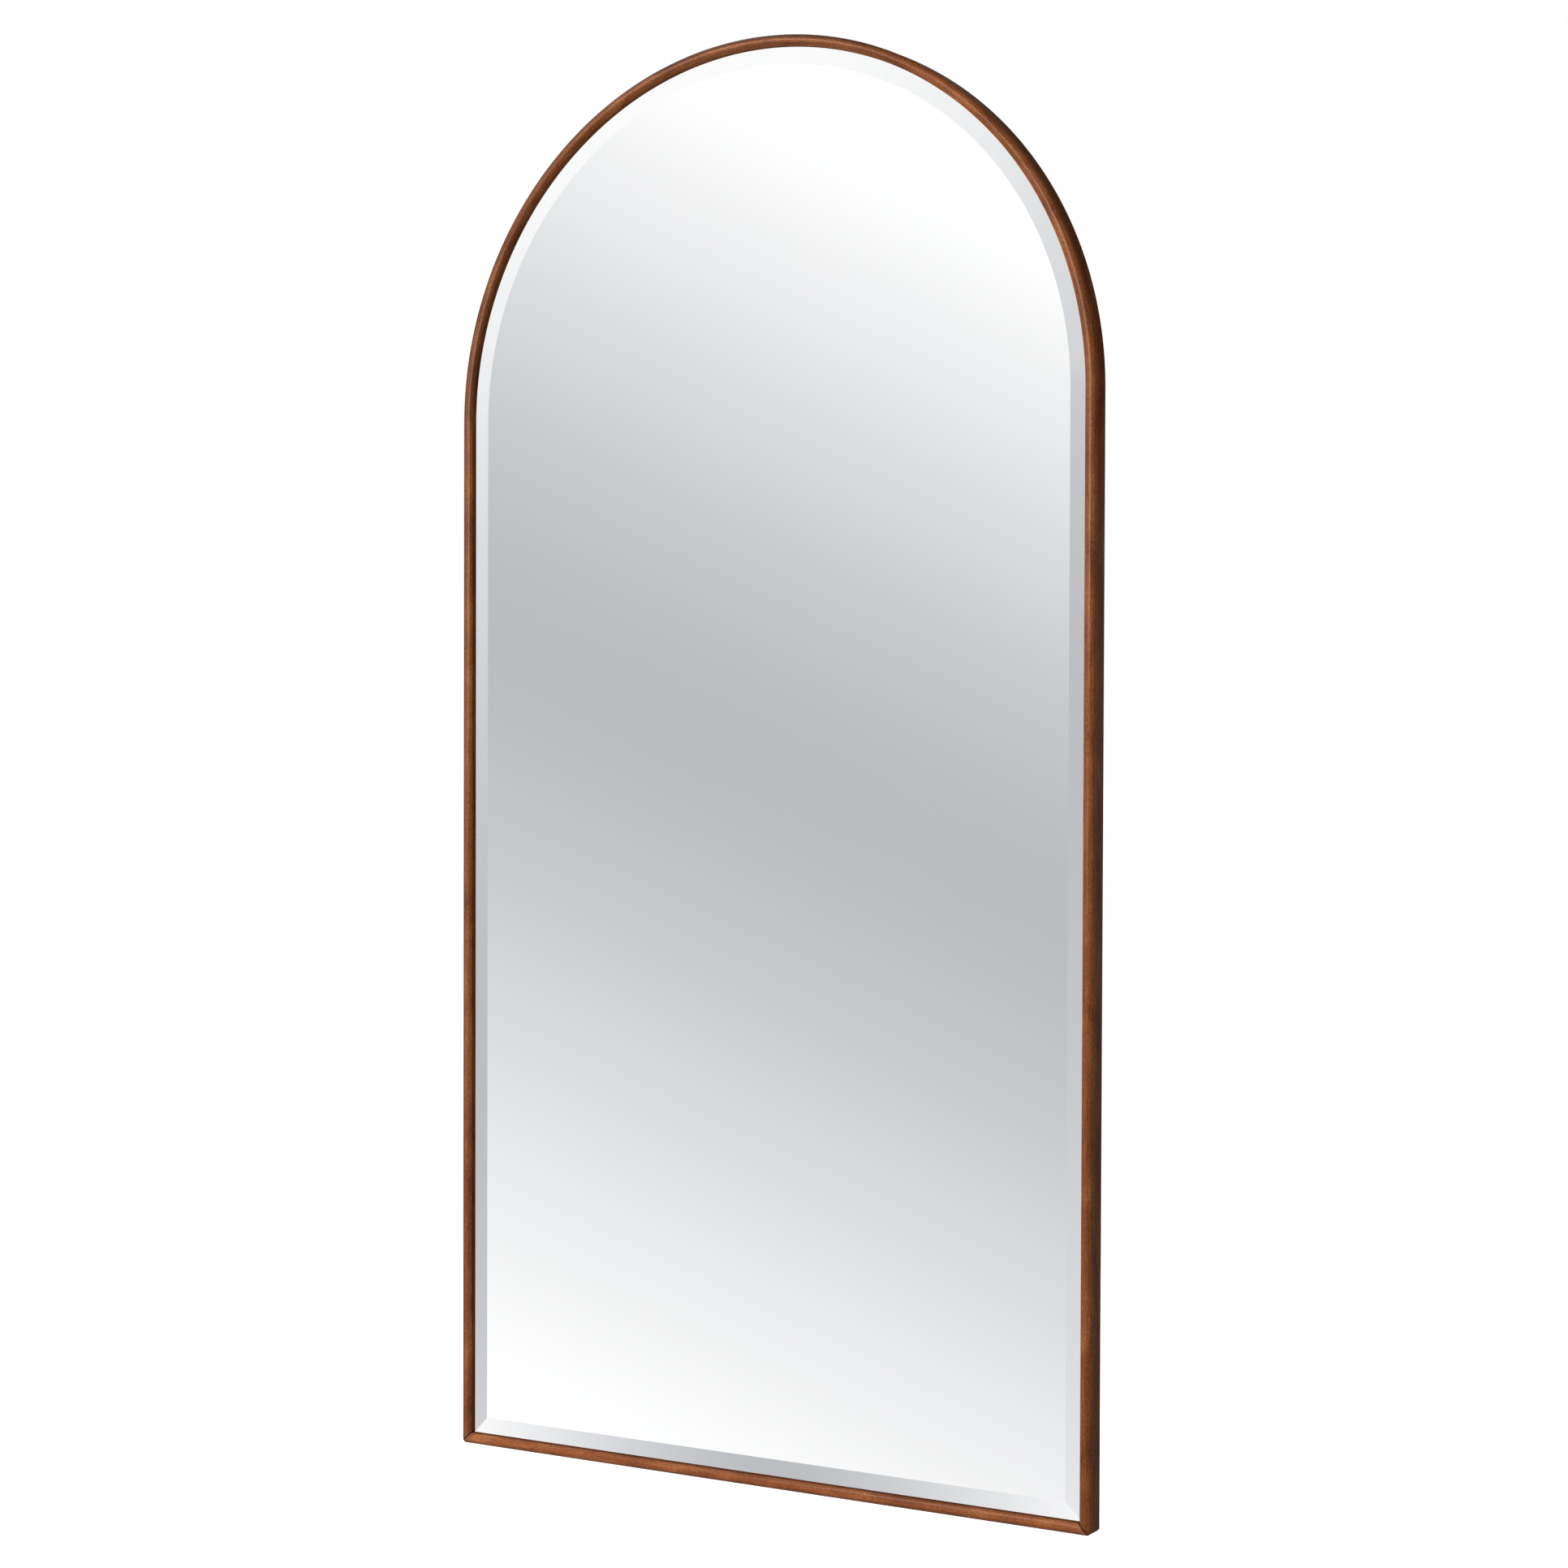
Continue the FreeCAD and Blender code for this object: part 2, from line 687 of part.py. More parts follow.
def make_mirror():
    """All sub-parts of the mirror, in the order of assembly."""
    stile = make_stile()
    tenon = make_tenon()
    block = make_setting_block()
    nails = make_mitre_nails()
    points = make_retaining_points()
    driven = add_group("driven_fasteners", [nails, points])
    parts = [
        add_cut("stile_right", stile, driven),
        add_cut("stile_left", add_mirror(stile, "stile_run_left"), driven),
        add_cut("bottom_rail", make_bottom_rail(), driven),
        add_cut("arch", make_arch(), driven),
        tenon,
        add_mirror(tenon, "arch_tenon_left"),
        nails,
        make_glass(),
        block,
        add_mirror(block, "setting_block_left"),
        *make_tape_strips(),
        make_board(),
        points,
    ]
    for name, side in SIDES.items():
        parts.append(make_hanger_plate(name, side))
        parts.append(make_hanger_ring(name, side))
    parts.append(make_hanger_screws())
    doc.recompute()
    return parts


def check(parts):
    """Stops the build on a failed feature or on a sub-part with no sound shape."""
    for item in doc.Objects:
        if {"Invalid", "Error"}.intersection(item.State):
            raise RuntimeError(f"{item.Label} failed: {item.State}")
    for part in parts:
        if part.Shape.isNull() or not part.Shape.isValid():
            raise RuntimeError(f"{part.Label} has no sound shape")


sub_parts = make_mirror()
check(sub_parts)
os.makedirs("parts", exist_ok=True)
for sub_part in sub_parts:
    sub_part.Shape.exportStep(f"parts/{sub_part.Label}.step")
    print(f"{sub_part.Label}: {len(sub_part.Shape.Solids)} solids, {sub_part.Shape.Volume:.0f} mm3")
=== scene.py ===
"""Looks of the arched wall mirror: a walnut frame round a bevelled, silvered glass plate.

Metres, in the part's own frame: X to the right from the front, Z up, the front facing -Y.
"""
import json
import math

import bpy
import numpy as np
from mathutils import Matrix, Vector


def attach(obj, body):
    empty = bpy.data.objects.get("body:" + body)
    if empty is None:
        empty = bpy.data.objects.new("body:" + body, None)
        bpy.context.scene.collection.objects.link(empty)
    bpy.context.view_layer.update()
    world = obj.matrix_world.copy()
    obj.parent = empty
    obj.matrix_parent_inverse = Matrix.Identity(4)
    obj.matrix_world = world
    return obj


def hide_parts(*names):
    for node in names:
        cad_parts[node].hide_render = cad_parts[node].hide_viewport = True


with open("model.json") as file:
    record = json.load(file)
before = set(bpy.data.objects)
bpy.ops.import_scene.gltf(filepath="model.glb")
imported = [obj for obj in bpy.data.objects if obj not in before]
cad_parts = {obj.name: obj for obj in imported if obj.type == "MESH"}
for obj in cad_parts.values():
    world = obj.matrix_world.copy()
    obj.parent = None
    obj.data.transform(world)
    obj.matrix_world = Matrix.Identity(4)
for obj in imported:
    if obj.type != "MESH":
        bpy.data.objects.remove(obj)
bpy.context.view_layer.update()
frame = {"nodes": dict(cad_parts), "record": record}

MM = 0.001

# Frame of the mirror, in millimetres
HALF_WIDTH = 457.0
SPRINGING = 1349.0
FACE_WIDTH = 14.0
FRAME_FRONT = -30.0
CROWN_RISE = 4.0
ARRIS_RADIUS = 1.0
LIP_BACK = -18.0
RABBET_WALL = 9.0
CORNER_RADIUS = 5.0
BACK_EASE = 0.5
LIP_EASE = 0.3
MITRE_GAP = 0.3
MITRE_EASE = 0.9
MITRE_ROWS = (1.4, 1.7, 2.1, 2.5, 2.9, 3.3, 3.7, 4.1, 5.0)

# Glass plate, in millimetres
GLASS_HALF = 446.5
GLASS_FOOT = 10.5
GLASS_FRONT = -21.14
GLASS_BACK = -15.14
BEVEL_WIDTH = 25.0
BEVEL_DROP = 4.0
EDGE_EASE = 0.3
GLASS_SIDE_STEPS = 24
GLASS_ARCH_STEPS = 240

# Hangers on the back, in millimetres from the ring's axis
HANGER_HALF = 300.0
HANGER_HEIGHT = 1249.0
BOARD_BACK = -7.14
STRAP_HALF = 9.0
STRAP_LENGTH = 54.0
STRAP_THICKNESS = 1.2
STRAP_FOOT_RADIUS = 5.0
STRAP_FOOT_STEPS = 9
STRAP_EASE = 0.3
LOOP_RADIUS = 2.5
RING_DEPTH = BOARD_BACK + LOOP_RADIUS + STRAP_THICKNESS / 2
WIRE_RADIUS = 1.6
RING_BAR_HALF = 10.0
RING_CORNER = 4.0
RING_LEG = 2.0
SCREW_DROPS = (46.0, 30.0)
SHANK_RADIUS = 2.0
SHANK_LENGTH = 7.0
SHANK_TIP = 2.0
HEAD_RADIUS = 4.0
HEAD_SIDE = 0.9
HEAD_HEIGHT = 2.4
HEAD_EASE = 0.2
TIP_POINT = 0.02
DOME_POINT = 0.004
RECESS_DEPTH = 1.2
RECESS_REACH = 2.3
RECESS_REACH_EASE = 0.12
RECESS_WIDTH = 0.55
RECESS_WIDTH_EASE = 0.06

SMOOTH_ANGLE = math.radians(32)
GLASS_SMOOTH_ANGLE = math.radians(5)


# Surfaces

def arc(centre, radius, start, stop, count):
    """Points of a circular arc: centre plus radius times (cos, sin) of an even run of angles."""
    turn = np.radians(np.linspace(start, stop, count))
    return np.stack([centre[0] + radius * np.cos(turn), centre[1] + radius * np.sin(turn)], axis=1)


def run(first, last, count):
    """Points of a straight run, both ends left out."""
    share = np.linspace(0, 1, count + 2)[1:-1, None]
    return np.array(first) * (1 - share) + np.array(last) * share


def outward(loop):
    """Outward normals of a closed line: its central differences, turned a quarter."""
    along = np.roll(loop, -1, axis=0) - np.roll(loop, 1, axis=0)
    side = np.stack([along[:, 1], -along[:, 0]], axis=1)
    area = np.sum(loop[:, 0] * np.roll(loop[:, 1], -1) - loop[:, 1] * np.roll(loop[:, 0], -1))
    return side * np.sign(area) / np.linalg.norm(side, axis=1, keepdims=True)


def lengths_round(loop):
    """Distance round a closed line from its first point, with the whole length at the end."""
    steps = np.linalg.norm(np.diff(np.concatenate([loop, loop[:1]]), axis=0), axis=1)
    return np.concatenate([[0.0], np.cumsum(steps)])


def piece_from_grid(name, grid, grain=None, ring_along=False, angle=SMOOTH_ANGLE, finishes=None):
    """Closed surface from a grid of points: rows along the piece, columns round its section.

    Neighbouring rows and columns are joined by quads, the last column to the first, and the first
    and last rows are closed by a flat face each, or joined where the path is a ring. Faces are
    turned outwards by the sign of the volume that they enclose. grain gives each row's and column's
    place on the unrolled surface, with one column more for the seam, and finishes each face's material.
    """
    rows, columns = grid.shape[:2]
    points = grid.reshape(-1, 3) * MM
    row = np.arange(rows if ring_along else rows - 1)
    low, across = np.meshgrid(row, np.arange(columns), indexing="ij")
    high = (low + 1) % rows
    beside = (across + 1) % columns
    near = low * columns
    far = high * columns
    quads = np.stack([near + across, near + beside, far + beside, far + across], -1).reshape(-1, 4)
    faces = quads.tolist()
    ends = []
    if not ring_along:
        ends = [np.arange(columns)[::-1], (rows - 1) * columns + np.arange(columns)]
        faces += [end.tolist() for end in ends]
    corner = points[quads]
    volume = np.sum(corner[:, 0] * np.cross(corner[:, 1], corner[:, 2]))
    volume += np.sum(corner[:, 0] * np.cross(corner[:, 2], corner[:, 3]))
    for end in ends:
        rim = points[end]
        volume += np.sum(rim[0] * np.cross(rim[1:-1], rim[2:]))
    turned = volume < 0
    if turned:
        faces = [face[::-1] for face in faces]
    mesh = bpy.data.meshes.new(name)
    mesh.from_pydata(points.tolist(), [], faces)
    if grain is not None:
        along, around = grain
        seam = across + 1
        u = np.stack([along[low, across], along[low, beside], along[high, beside], along[high, across]], -1)
        v = np.stack([around[across], around[seam], around[seam], around[across]], -1)
        quad_places = np.stack([u, v], -1).reshape(-1, 4, 2)
        end_places = [np.stack([along.reshape(-1)[end], around[end % columns]], -1) for end in ends]
        if turned:
            quad_places = quad_places[:, ::-1]
            end_places = [places[::-1] for places in end_places]
        places = np.concatenate([quad_places.reshape(-1, 2), *end_places])
        layer = mesh.uv_layers.new(name="grain")
        layer.data.foreach_set("uv", (places * MM).astype(np.float32).ravel())
    mesh.polygons.foreach_set("use_smooth", np.ones(len(faces), bool))
    mesh.set_sharp_from_angle(angle=angle)
    mesh.update()
    piece = bpy.data.objects.new(name, mesh)
    bpy.context.scene.collection.objects.link(piece)
    if finishes is not None:
        mesh.polygons.foreach_set("material_index", np.asarray(finishes, np.int32))
    return piece


# Walnut frame

def moulding_profile():
    """Section of the frame as a closed line of (distance in from the outer side, depth).

    The crown is a circle through both arrises and the front; the arrises are small circles that
    touch the crown from inside and the sides; the other edges are eased by quarter circles.
    """
    middle = FACE_WIDTH / 2
    radius = (middle ** 2 + CROWN_RISE ** 2) / (2 * CROWN_RISE)
    crown = (middle, FRAME_FRONT + radius)
    reach = middle - ARRIS_RADIUS
    drop = math.sqrt((radius - ARRIS_RADIUS) ** 2 - reach ** 2)
    arris = crown[1] - drop
    lean = math.degrees(math.atan2(drop, reach))
    inside = FACE_WIDTH - ARRIS_RADIUS
    return np.concatenate([
        arc((BACK_EASE, -BACK_EASE), BACK_EASE, 90, 180, 5),
        run((0, -BACK_EASE), (0, arris), 8),
        arc((ARRIS_RADIUS, arris), ARRIS_RADIUS, 180, 180 + lean, 7)[:-1],
        arc(crown, radius, 180 + lean, 360 - lean, 33),
        arc((inside, arris), ARRIS_RADIUS, 360 - lean, 360, 7)[1:],
        arc((FACE_WIDTH - LIP_EASE, LIP_BACK - LIP_EASE), LIP_EASE, 0, 90, 4),
        run((FACE_WIDTH - LIP_EASE, LIP_BACK), (RABBET_WALL, LIP_BACK), 2),
        [(RABBET_WALL, LIP_BACK)],
        run((RABBET_WALL, LIP_BACK), (RABBET_WALL, -BACK_EASE), 6),
        arc((RABBET_WALL - BACK_EASE, -BACK_EASE), BACK_EASE, 0, 90, 5),
        run((RABBET_WALL - BACK_EASE, 0), (BACK_EASE, 0), 3),
    ])


def beyond_mitre(across, distance):
    """Place of a section point at a distance up the right stile from the mitre, as (x, z).

    Inside the corner circle's reach the point first follows an eighth of that circle, and then the
    straight side; further in it starts on the mitre line itself.
    """
    bend = np.maximum(CORNER_RADIUS - across, 0)
    quarter = bend * math.pi / 4
    turn = math.pi / 4 - np.minimum(distance, quarter) / np.maximum(bend, 1e-6)
    on_bend = distance < quarter
    x = np.where(on_bend, HALF_WIDTH - CORNER_RADIUS + bend * np.cos(turn), HALF_WIDTH - across)
    foot = np.maximum(across, CORNER_RADIUS)
    z = np.where(on_bend, CORNER_RADIUS - bend * np.sin(turn), foot + distance - quarter)
    return x, z


def mitre_end():
    """Rows of a mitred end: section points as (across, depth, distance from the mitre line).

    A quarter circle eases the edge of the mitre: rows draw the section in along its own normals by
    the circle's rise while they step away from the mitre line; plain rows follow past the corner.
    """
    profile = moulding_profile()
    normal = outward(profile)
    turn = np.radians(np.linspace(0, 90, 5))[:, None, None]
    eased = profile - MITRE_EASE * (1 - np.sin(turn)) * normal
    away = MITRE_GAP + MITRE_EASE * (1 - np.cos(turn[..., 0])) * np.ones(len(profile))
    plain = np.array(MITRE_ROWS)[:, None] * np.ones(len(profile))
    section = np.concatenate([eased, np.repeat(profile[None], len(plain), axis=0)])
    return section, np.concatenate([away, plain])


def round_section():
    """Distance round the section, in columns, with the seam's second value at the end."""
    return lengths_round(moulding_profile())


def crown_middle():
    """Distance round the section at which the crown stands furthest forward."""
    return round_section()[np.argmin(moulding_profile()[:, 1])]


def make_stile(name, side):
    """Stile: mitred end rows, then straight rows up to the springing line."""
    section, away = mitre_end()
    x, z = beyond_mitre(section[..., 0], away)
    share = np.linspace(0, 1, 25)[1:, None]
    profile = moulding_profile()
    straight = z[-1] * (1 - share) + SPRINGING * share
    x = np.concatenate([x, np.repeat((HALF_WIDTH - profile[:, 0])[None], len(share), axis=0)])
    y = np.concatenate([section[..., 1], np.repeat(profile[None, :, 1], len(share), axis=0)])
    z = np.concatenate([z, straight])
    along = z - SPRINGING if side > 0 else math.pi * HALF_WIDTH + SPRINGING - z
    return piece_from_grid(name, np.stack([side * x, y, z], -1), (along, round_section()))


def make_rail(name):
    """Bottom rail: the stile's mitred end laid over the mitre line, at both ends."""
    section, away = mitre_end()
    x, z = beyond_mitre(section[..., 0], away)
    end_x = HALF_WIDTH - z
    end_z = HALF_WIDTH - x
    share = np.linspace(0, 1, 18)[1:-1, None]
    profile = moulding_profile()
    middle_x = end_x[-1] * (1 - 2 * share)
    middle_z = np.repeat(profile[None, :, 0], len(share), axis=0)
    middle_y = np.repeat(profile[None, :, 1], len(share), axis=0)
    x = np.concatenate([end_x, middle_x, -end_x[::-1]])
    y = np.concatenate([section[..., 1], middle_y, section[::-1, :, 1]])
    z = np.concatenate([end_z, middle_z, end_z[::-1]])
    return piece_from_grid(name, np.stack([x, y, z], -1), (x + 3 * HALF_WIDTH, round_section()))


def make_arch(name):
    """Arch: the section turned half round the middle of the springing line."""
    profile = moulding_profile()
    turn = np.linspace(0, math.pi, 193)[:, None]
    radius = HALF_WIDTH - profile[None, :, 0]
    y = np.repeat(profile[None, :, 1], len(turn), axis=0)
    grid = np.stack([radius * np.cos(turn), y, SPRINGING + radius * np.sin(turn)], -1)
    along = turn * HALF_WIDTH * np.ones(len(profile))
    return piece_from_grid(name, grid, (along, round_section()))


# Bevelled glass plate

def arched_outline(inset):
    """Closed outline of the plate, set in evenly: foot, right side, half circle, left side."""
    half = GLASS_HALF - inset
    foot = GLASS_FOOT + inset
    steps = GLASS_SIDE_STEPS
    foot_run = np.linspace(-half, half, steps + 1)[:-1]
    rise = np.linspace(foot, SPRINGING, steps + 1)[:-1]
    turn = np.linspace(0, math.pi, GLASS_ARCH_STEPS + 1)[:-1]
    top = SPRINGING + half * np.sin(turn)
    x = np.concatenate([foot_run, np.full(steps, half), half * np.cos(turn), np.full(steps, -half)])
    z = np.concatenate([np.full(steps, foot), rise, top, SPRINGING + foot - rise])
    return x, z


def make_glass(name):
    """Glass plate: outlines set in from its edge, at the depths of the bevel, the edge and the back."""
    bevel_end = GLASS_FRONT + BEVEL_DROP
    slope = BEVEL_DROP / BEVEL_WIDTH
    steps = [
        (BEVEL_WIDTH, GLASS_FRONT),
        (EDGE_EASE, bevel_end - slope * EDGE_EASE),
        (0, bevel_end + EDGE_EASE),
        (0, GLASS_BACK - EDGE_EASE),
        (EDGE_EASE, GLASS_BACK),
    ]
    rows = []
    for inset, depth in steps:
        x, z = arched_outline(inset)
        rows.append(np.stack([x, np.full(len(x), depth), z], -1))
    grid = np.stack(rows)
    columns = grid.shape[1]
    # Silver on the bevel and the face, ground glass on the edge, paint on the back
    finishes = np.concatenate([np.zeros(columns), np.ones(3 * columns), [0, 2]])
    return piece_from_grid(name, grid, angle=GLASS_SMOOTH_ANGLE, finishes=finishes)


# Hangers on the back

def make_ring(name, side):
    """D-ring: a round wire section carried round the bar, two corners, two legs and a half circle."""
    half = RING_BAR_HALF + RING_CORNER
    bend = -RING_CORNER - RING_LEG
    path = np.concatenate([
        run((-RING_BAR_HALF, 0), (RING_BAR_HALF, 0), 6),
        arc((RING_BAR_HALF, -RING_CORNER), RING_CORNER, 90, 0, 13),
        arc((0, bend), half, 0, -180, 49),
        arc((-RING_BAR_HALF, -RING_CORNER), RING_CORNER, 180, 90, 13),
    ])
    normal = outward(path)
    turn = np.linspace(0, 2 * math.pi, 25)[:-1]
    out = WIRE_RADIUS * np.cos(turn)[None, :, None] * normal[:, None, :]
    xz = path[:, None, :] + out
    y = np.broadcast_to(RING_DEPTH + WIRE_RADIUS * np.sin(turn), xz.shape[:2])
    grid = np.stack([side * HANGER_HALF + xz[..., 0], y, HANGER_HEIGHT + xz[..., 1]], -1)
    return piece_from_grid(name, grid, ring_along=True)


def make_strap(name, side):
    """Strap hanger: an eased flat section carried up the board and round three quarters of a circle.

    The section's half width grows from the foot by a quarter circle, so the foot's corners are round.
    """
    loop = LOOP_RADIUS
    turn = np.radians(np.linspace(0, 90, STRAP_FOOT_STEPS))
    rise = STRAP_FOOT_RADIUS * (1 - np.cos(turn)) - STRAP_LENGTH
    foot = np.stack([np.full(STRAP_FOOT_STEPS, -loop), rise], -1)
    path = np.concatenate([
        foot,
        run((-loop, foot[-1, 1]), (-loop, 0), 8),
        arc((0, 0), loop, 180, -90, 46),
    ])
    width = np.full(len(path), STRAP_HALF)
    width[:STRAP_FOOT_STEPS] = STRAP_HALF - STRAP_FOOT_RADIUS * (1 - np.sin(turn))
    along = np.gradient(path, axis=0)
    along /= np.linalg.norm(along, axis=1, keepdims=True)
    normal = np.stack([along[:, 1], -along[:, 0]], -1)
    thin = STRAP_THICKNESS / 2 - STRAP_EASE
    corners = []
    for start, x_sign, y_sign in ((0, 1, 1), (90, -1, 1), (180, -1, -1), (270, 1, -1)):
        bend = arc((0, 0), STRAP_EASE, start, start + 90, 4)
        corners.append(np.concatenate([bend, np.full((4, 1), x_sign), np.full((4, 1), y_sign)], axis=1))
    section = np.concatenate(corners)
    x = section[None, :, 0] + section[None, :, 2] * (width[:, None] - STRAP_EASE)
    lift = section[None, :, 1] + section[None, :, 3] * thin
    yz = path[:, None, :] + lift[..., None] * normal[:, None, :]
    grid = np.stack([side * HANGER_HALF + x, RING_DEPTH + yz[..., 0], HANGER_HEIGHT + yz[..., 1]], -1)
    return piece_from_grid(name, grid)


def screw_grid(x, z):
    """Screw along Y: a turned profile of radius against height, with a cross sunk into the head.

    The recess is the larger of two slots, each a product of two soft steps across and along it.
    """
    dome = np.linspace(0, 90, 28)
    rise = HEAD_HEIGHT - HEAD_SIDE
    radius = np.concatenate([
        [TIP_POINT, SHANK_RADIUS, SHANK_RADIUS, HEAD_RADIUS - HEAD_EASE, HEAD_RADIUS],
        HEAD_RADIUS * np.cos(np.radians(dome)).clip(DOME_POINT),
    ])
    height = np.concatenate([
        [-SHANK_LENGTH, SHANK_TIP - SHANK_LENGTH, 0, 0, HEAD_EASE],
        HEAD_SIDE + rise * np.sin(np.radians(dome)),
    ])
    turn = np.linspace(0, 2 * math.pi, 97)[:-1]
    across = radius[:, None] * np.cos(turn)
    up = radius[:, None] * np.sin(turn)
    u = (across + up) / math.sqrt(2)
    v = (across - up) / math.sqrt(2)

    def slot(narrow, wide):
        side = 1 / (1 + np.exp((np.abs(narrow) - RECESS_WIDTH) / RECESS_WIDTH_EASE))
        end = 1 / (1 + np.exp((np.abs(wide) - RECESS_REACH) / RECESS_REACH_EASE))
        return side * end

    recess = RECESS_DEPTH * np.maximum(slot(u, v), slot(v, u))
    on_head = (height >= HEAD_SIDE)[:, None]
    y = BOARD_BACK + STRAP_THICKNESS + height[:, None] - np.where(on_head, recess, 0)
    return np.stack([x + across, y, z + up], -1)


def join_pieces(name, pieces):
    """One piece from several loose, alike ones."""
    with bpy.context.temp_override(active_object=pieces[0], selected_editable_objects=pieces):
        bpy.ops.object.join()
    pieces[0].name = name
    pieces[0].data.name = name
    return pieces[0]


# Finishes

def new_material(name):
    """A material, its node tree and its shader."""
    material = bpy.data.materials.new(name)
    material.use_nodes = True
    tree = material.node_tree
    return material, tree, tree.nodes["Principled BSDF"]


def add_node(tree, kind, **settings):
    node = tree.nodes.new(kind)
    for key, value in settings.items():
        setattr(node, key, value)
    return node


def feed(tree, socket, value):
    """Links an output, or sets a plain value."""
    if isinstance(value, bpy.types.NodeSocket):
        tree.links.new(value, socket)
    else:
        socket.default_value = value


def math_node(tree, operation, *values):
    node = add_node(tree, "ShaderNodeMath", operation=operation)
    for socket, value in zip(node.inputs, values):
        feed(tree, socket, value)
    return node.outputs[0]


def remap(tree, value, low, high, to_low, to_high, kind="LINEAR"):
    node = add_node(tree, "ShaderNodeMapRange", interpolation_type=kind)
    for socket, number in zip(node.inputs, (value, low, high, to_low, to_high)):
        feed(tree, socket, number)
    return node.outputs[0]


def fade(tree, value, stretch, top=1.0):
    """A share that rises softly from 0 at the start of a stretch of values to top at its end."""
    return remap(tree, value, *stretch, 0, top, "SMOOTHSTEP")


def mix_colour(tree, share, first, second, blend="MIX"):
    node = add_node(tree, "ShaderNodeMix", data_type="RGBA", blend_type=blend)
    feed(tree, node.inputs["Factor"], share)
    for socket, value in zip((node.inputs[6], node.inputs[7]), (first, second)):
        feed(tree, socket, value)
    return node.outputs[2]


def colour_ramp(tree, value, stops):
    node = add_node(tree, "ShaderNodeValToRGB")
    ramp = node.color_ramp
    while len(ramp.elements) < len(stops):
        ramp.elements.new(1.0)
    for element, (place, colour) in zip(ramp.elements, stops):
        element.position = place
        element.color = (*colour, 1)
    feed(tree, node.inputs["Fac"], value)
    return node.outputs["Color"]


def stretched(tree, vector, scale):
    node = add_node(tree, "ShaderNodeMapping")
    feed(tree, node.inputs["Vector"], vector)
    node.inputs["Scale"].default_value = scale
    return node.outputs["Vector"]


def noise(tree, vector, scale, detail=3.0, roughness=0.55, distortion=0.0):
    node = add_node(tree, "ShaderNodeTexNoise")
    settings = {"Vector": vector, "Scale": scale, "Detail": detail,
                "Roughness": roughness, "Distortion": distortion}
    for label, value in settings.items():
        feed(tree, node.inputs[label], value)
    return node.outputs["Fac"]


def new_group(name, inputs, outputs):
    """A shader node group with named sockets, and its inner ends."""
    group = bpy.data.node_groups.new(name, "ShaderNodeTree")
    for label, kind, value in inputs:
        socket = group.interface.new_socket(label, in_out="INPUT", socket_type=kind)
        if value is not None:
            socket.default_value = value
    for label in outputs:
        group.interface.new_socket(label, in_out="OUTPUT", socket_type="NodeSocketFloat")
    return group, group.nodes.new("NodeGroupInput").outputs, group.nodes.new("NodeGroupOutput").inputs


def place_group(tree, group, **values):
    node = add_node(tree, "ShaderNodeGroup", node_tree=group)
    for label, value in values.items():
        feed(tree, node.inputs[label.replace("_", " ").capitalize()], value)
    return node.outputs


def build_wood_grain():
    """Wood grain: long soft streaks, slow clouds along the length, fine fibres, flecks and dark pores."""
    group, given, result = new_group("wood_grain", [
        ("Vector", "NodeSocketVector", None),
        ("Streaks", "NodeSocketFloat", 420.0),
        ("Pores", "NodeSocketFloat", 2600.0),
    ], ["Figure", "Clouds", "Pores", "Fibre", "Flecks"])
    streaks = noise(group, stretched(group, given["Vector"], (0.03, 1, 1)), given["Streaks"], 4.0, 0.6, 0.4)
    clouds = noise(group, stretched(group, given["Vector"], (0.35, 1, 1)), 38.0, 3.0, 0.55, 0.6)
    fibre = noise(group, stretched(group, given["Vector"], (0.04, 1, 1)), given["Pores"], 2.0, 0.5)
    dashes = noise(group, stretched(group, given["Vector"], (0.11, 1, 1)), given["Pores"], 1.0, 0.4)
    flecks = noise(group, stretched(group, given["Vector"], (0.4, 1, 1)), 640.0, 1.0, 0.5, 0.3)
    feed(group, result["Figure"], streaks)
    feed(group, result["Clouds"], clouds)
    feed(group, result["Pores"], remap(group, dashes, 0.60, 0.72, 0.0, 1.0, "SMOOTHSTEP"))
    feed(group, result["Fibre"], fibre)
    feed(group, result["Flecks"], flecks)
    return group


def build_fine_mottle():
    """Fine mottle: two sizes of soft noise, for plated, moulded and pressed surfaces."""
    group, given, result = new_group("fine_mottle", [
        ("Vector", "NodeSocketVector", None),
        ("Scale", "NodeSocketFloat", 200.0),
    ], ["Coarse", "Fine"])
    fine = math_node(group, "MULTIPLY", given["Scale"], 9.0)
    feed(group, result["Coarse"], noise(group, given["Vector"], given["Scale"], 4.0))
    feed(group, result["Fine"], noise(group, given["Vector"], fine, 2.0))
    return group


WOOD_GRAIN = build_wood_grain()
FINE_MOTTLE = build_fine_mottle()


def object_place(tree):
    return add_node(tree, "ShaderNodeTexCoord").outputs["Object"]


def add_bump(tree, shader, height, strength, distance):
    node = add_node(tree, "ShaderNodeBump")
    node.inputs["Strength"].default_value = strength
    node.inputs["Distance"].default_value = distance
    feed(tree, node.inputs["Height"], height)
    feed(tree, shader.inputs["Normal"], node.outputs["Normal"])


# Stretches over which the walnut's finish, its painted shade and its painted light change, in metres round
# the moulding's section from the middle of its crown, positive towards the glass
OUTER_FLANK = (-0.0012, -0.0046)
OUTER_EDGE = (-0.0096, -0.0076)
OUTER_SIDE = (-0.0080, -0.0098)
PAINTED_SIDE_LIGHT = (-0.0185, -0.0110)
INNER_FLANK = 0.0034
INNER_EDGE = (0.0096, 0.0076)
LIP_SIDE = (0.0072, 0.0090)
LIP_REAR = (0.022, 0.018)
# The same along X, along Z and from the mitre line
TOWARDS_LEFT = (0.30, 0.02)
HIGH_UP = (0.9, 1.4)
MITRE_GROOVE = (0.0024, 0.0010)


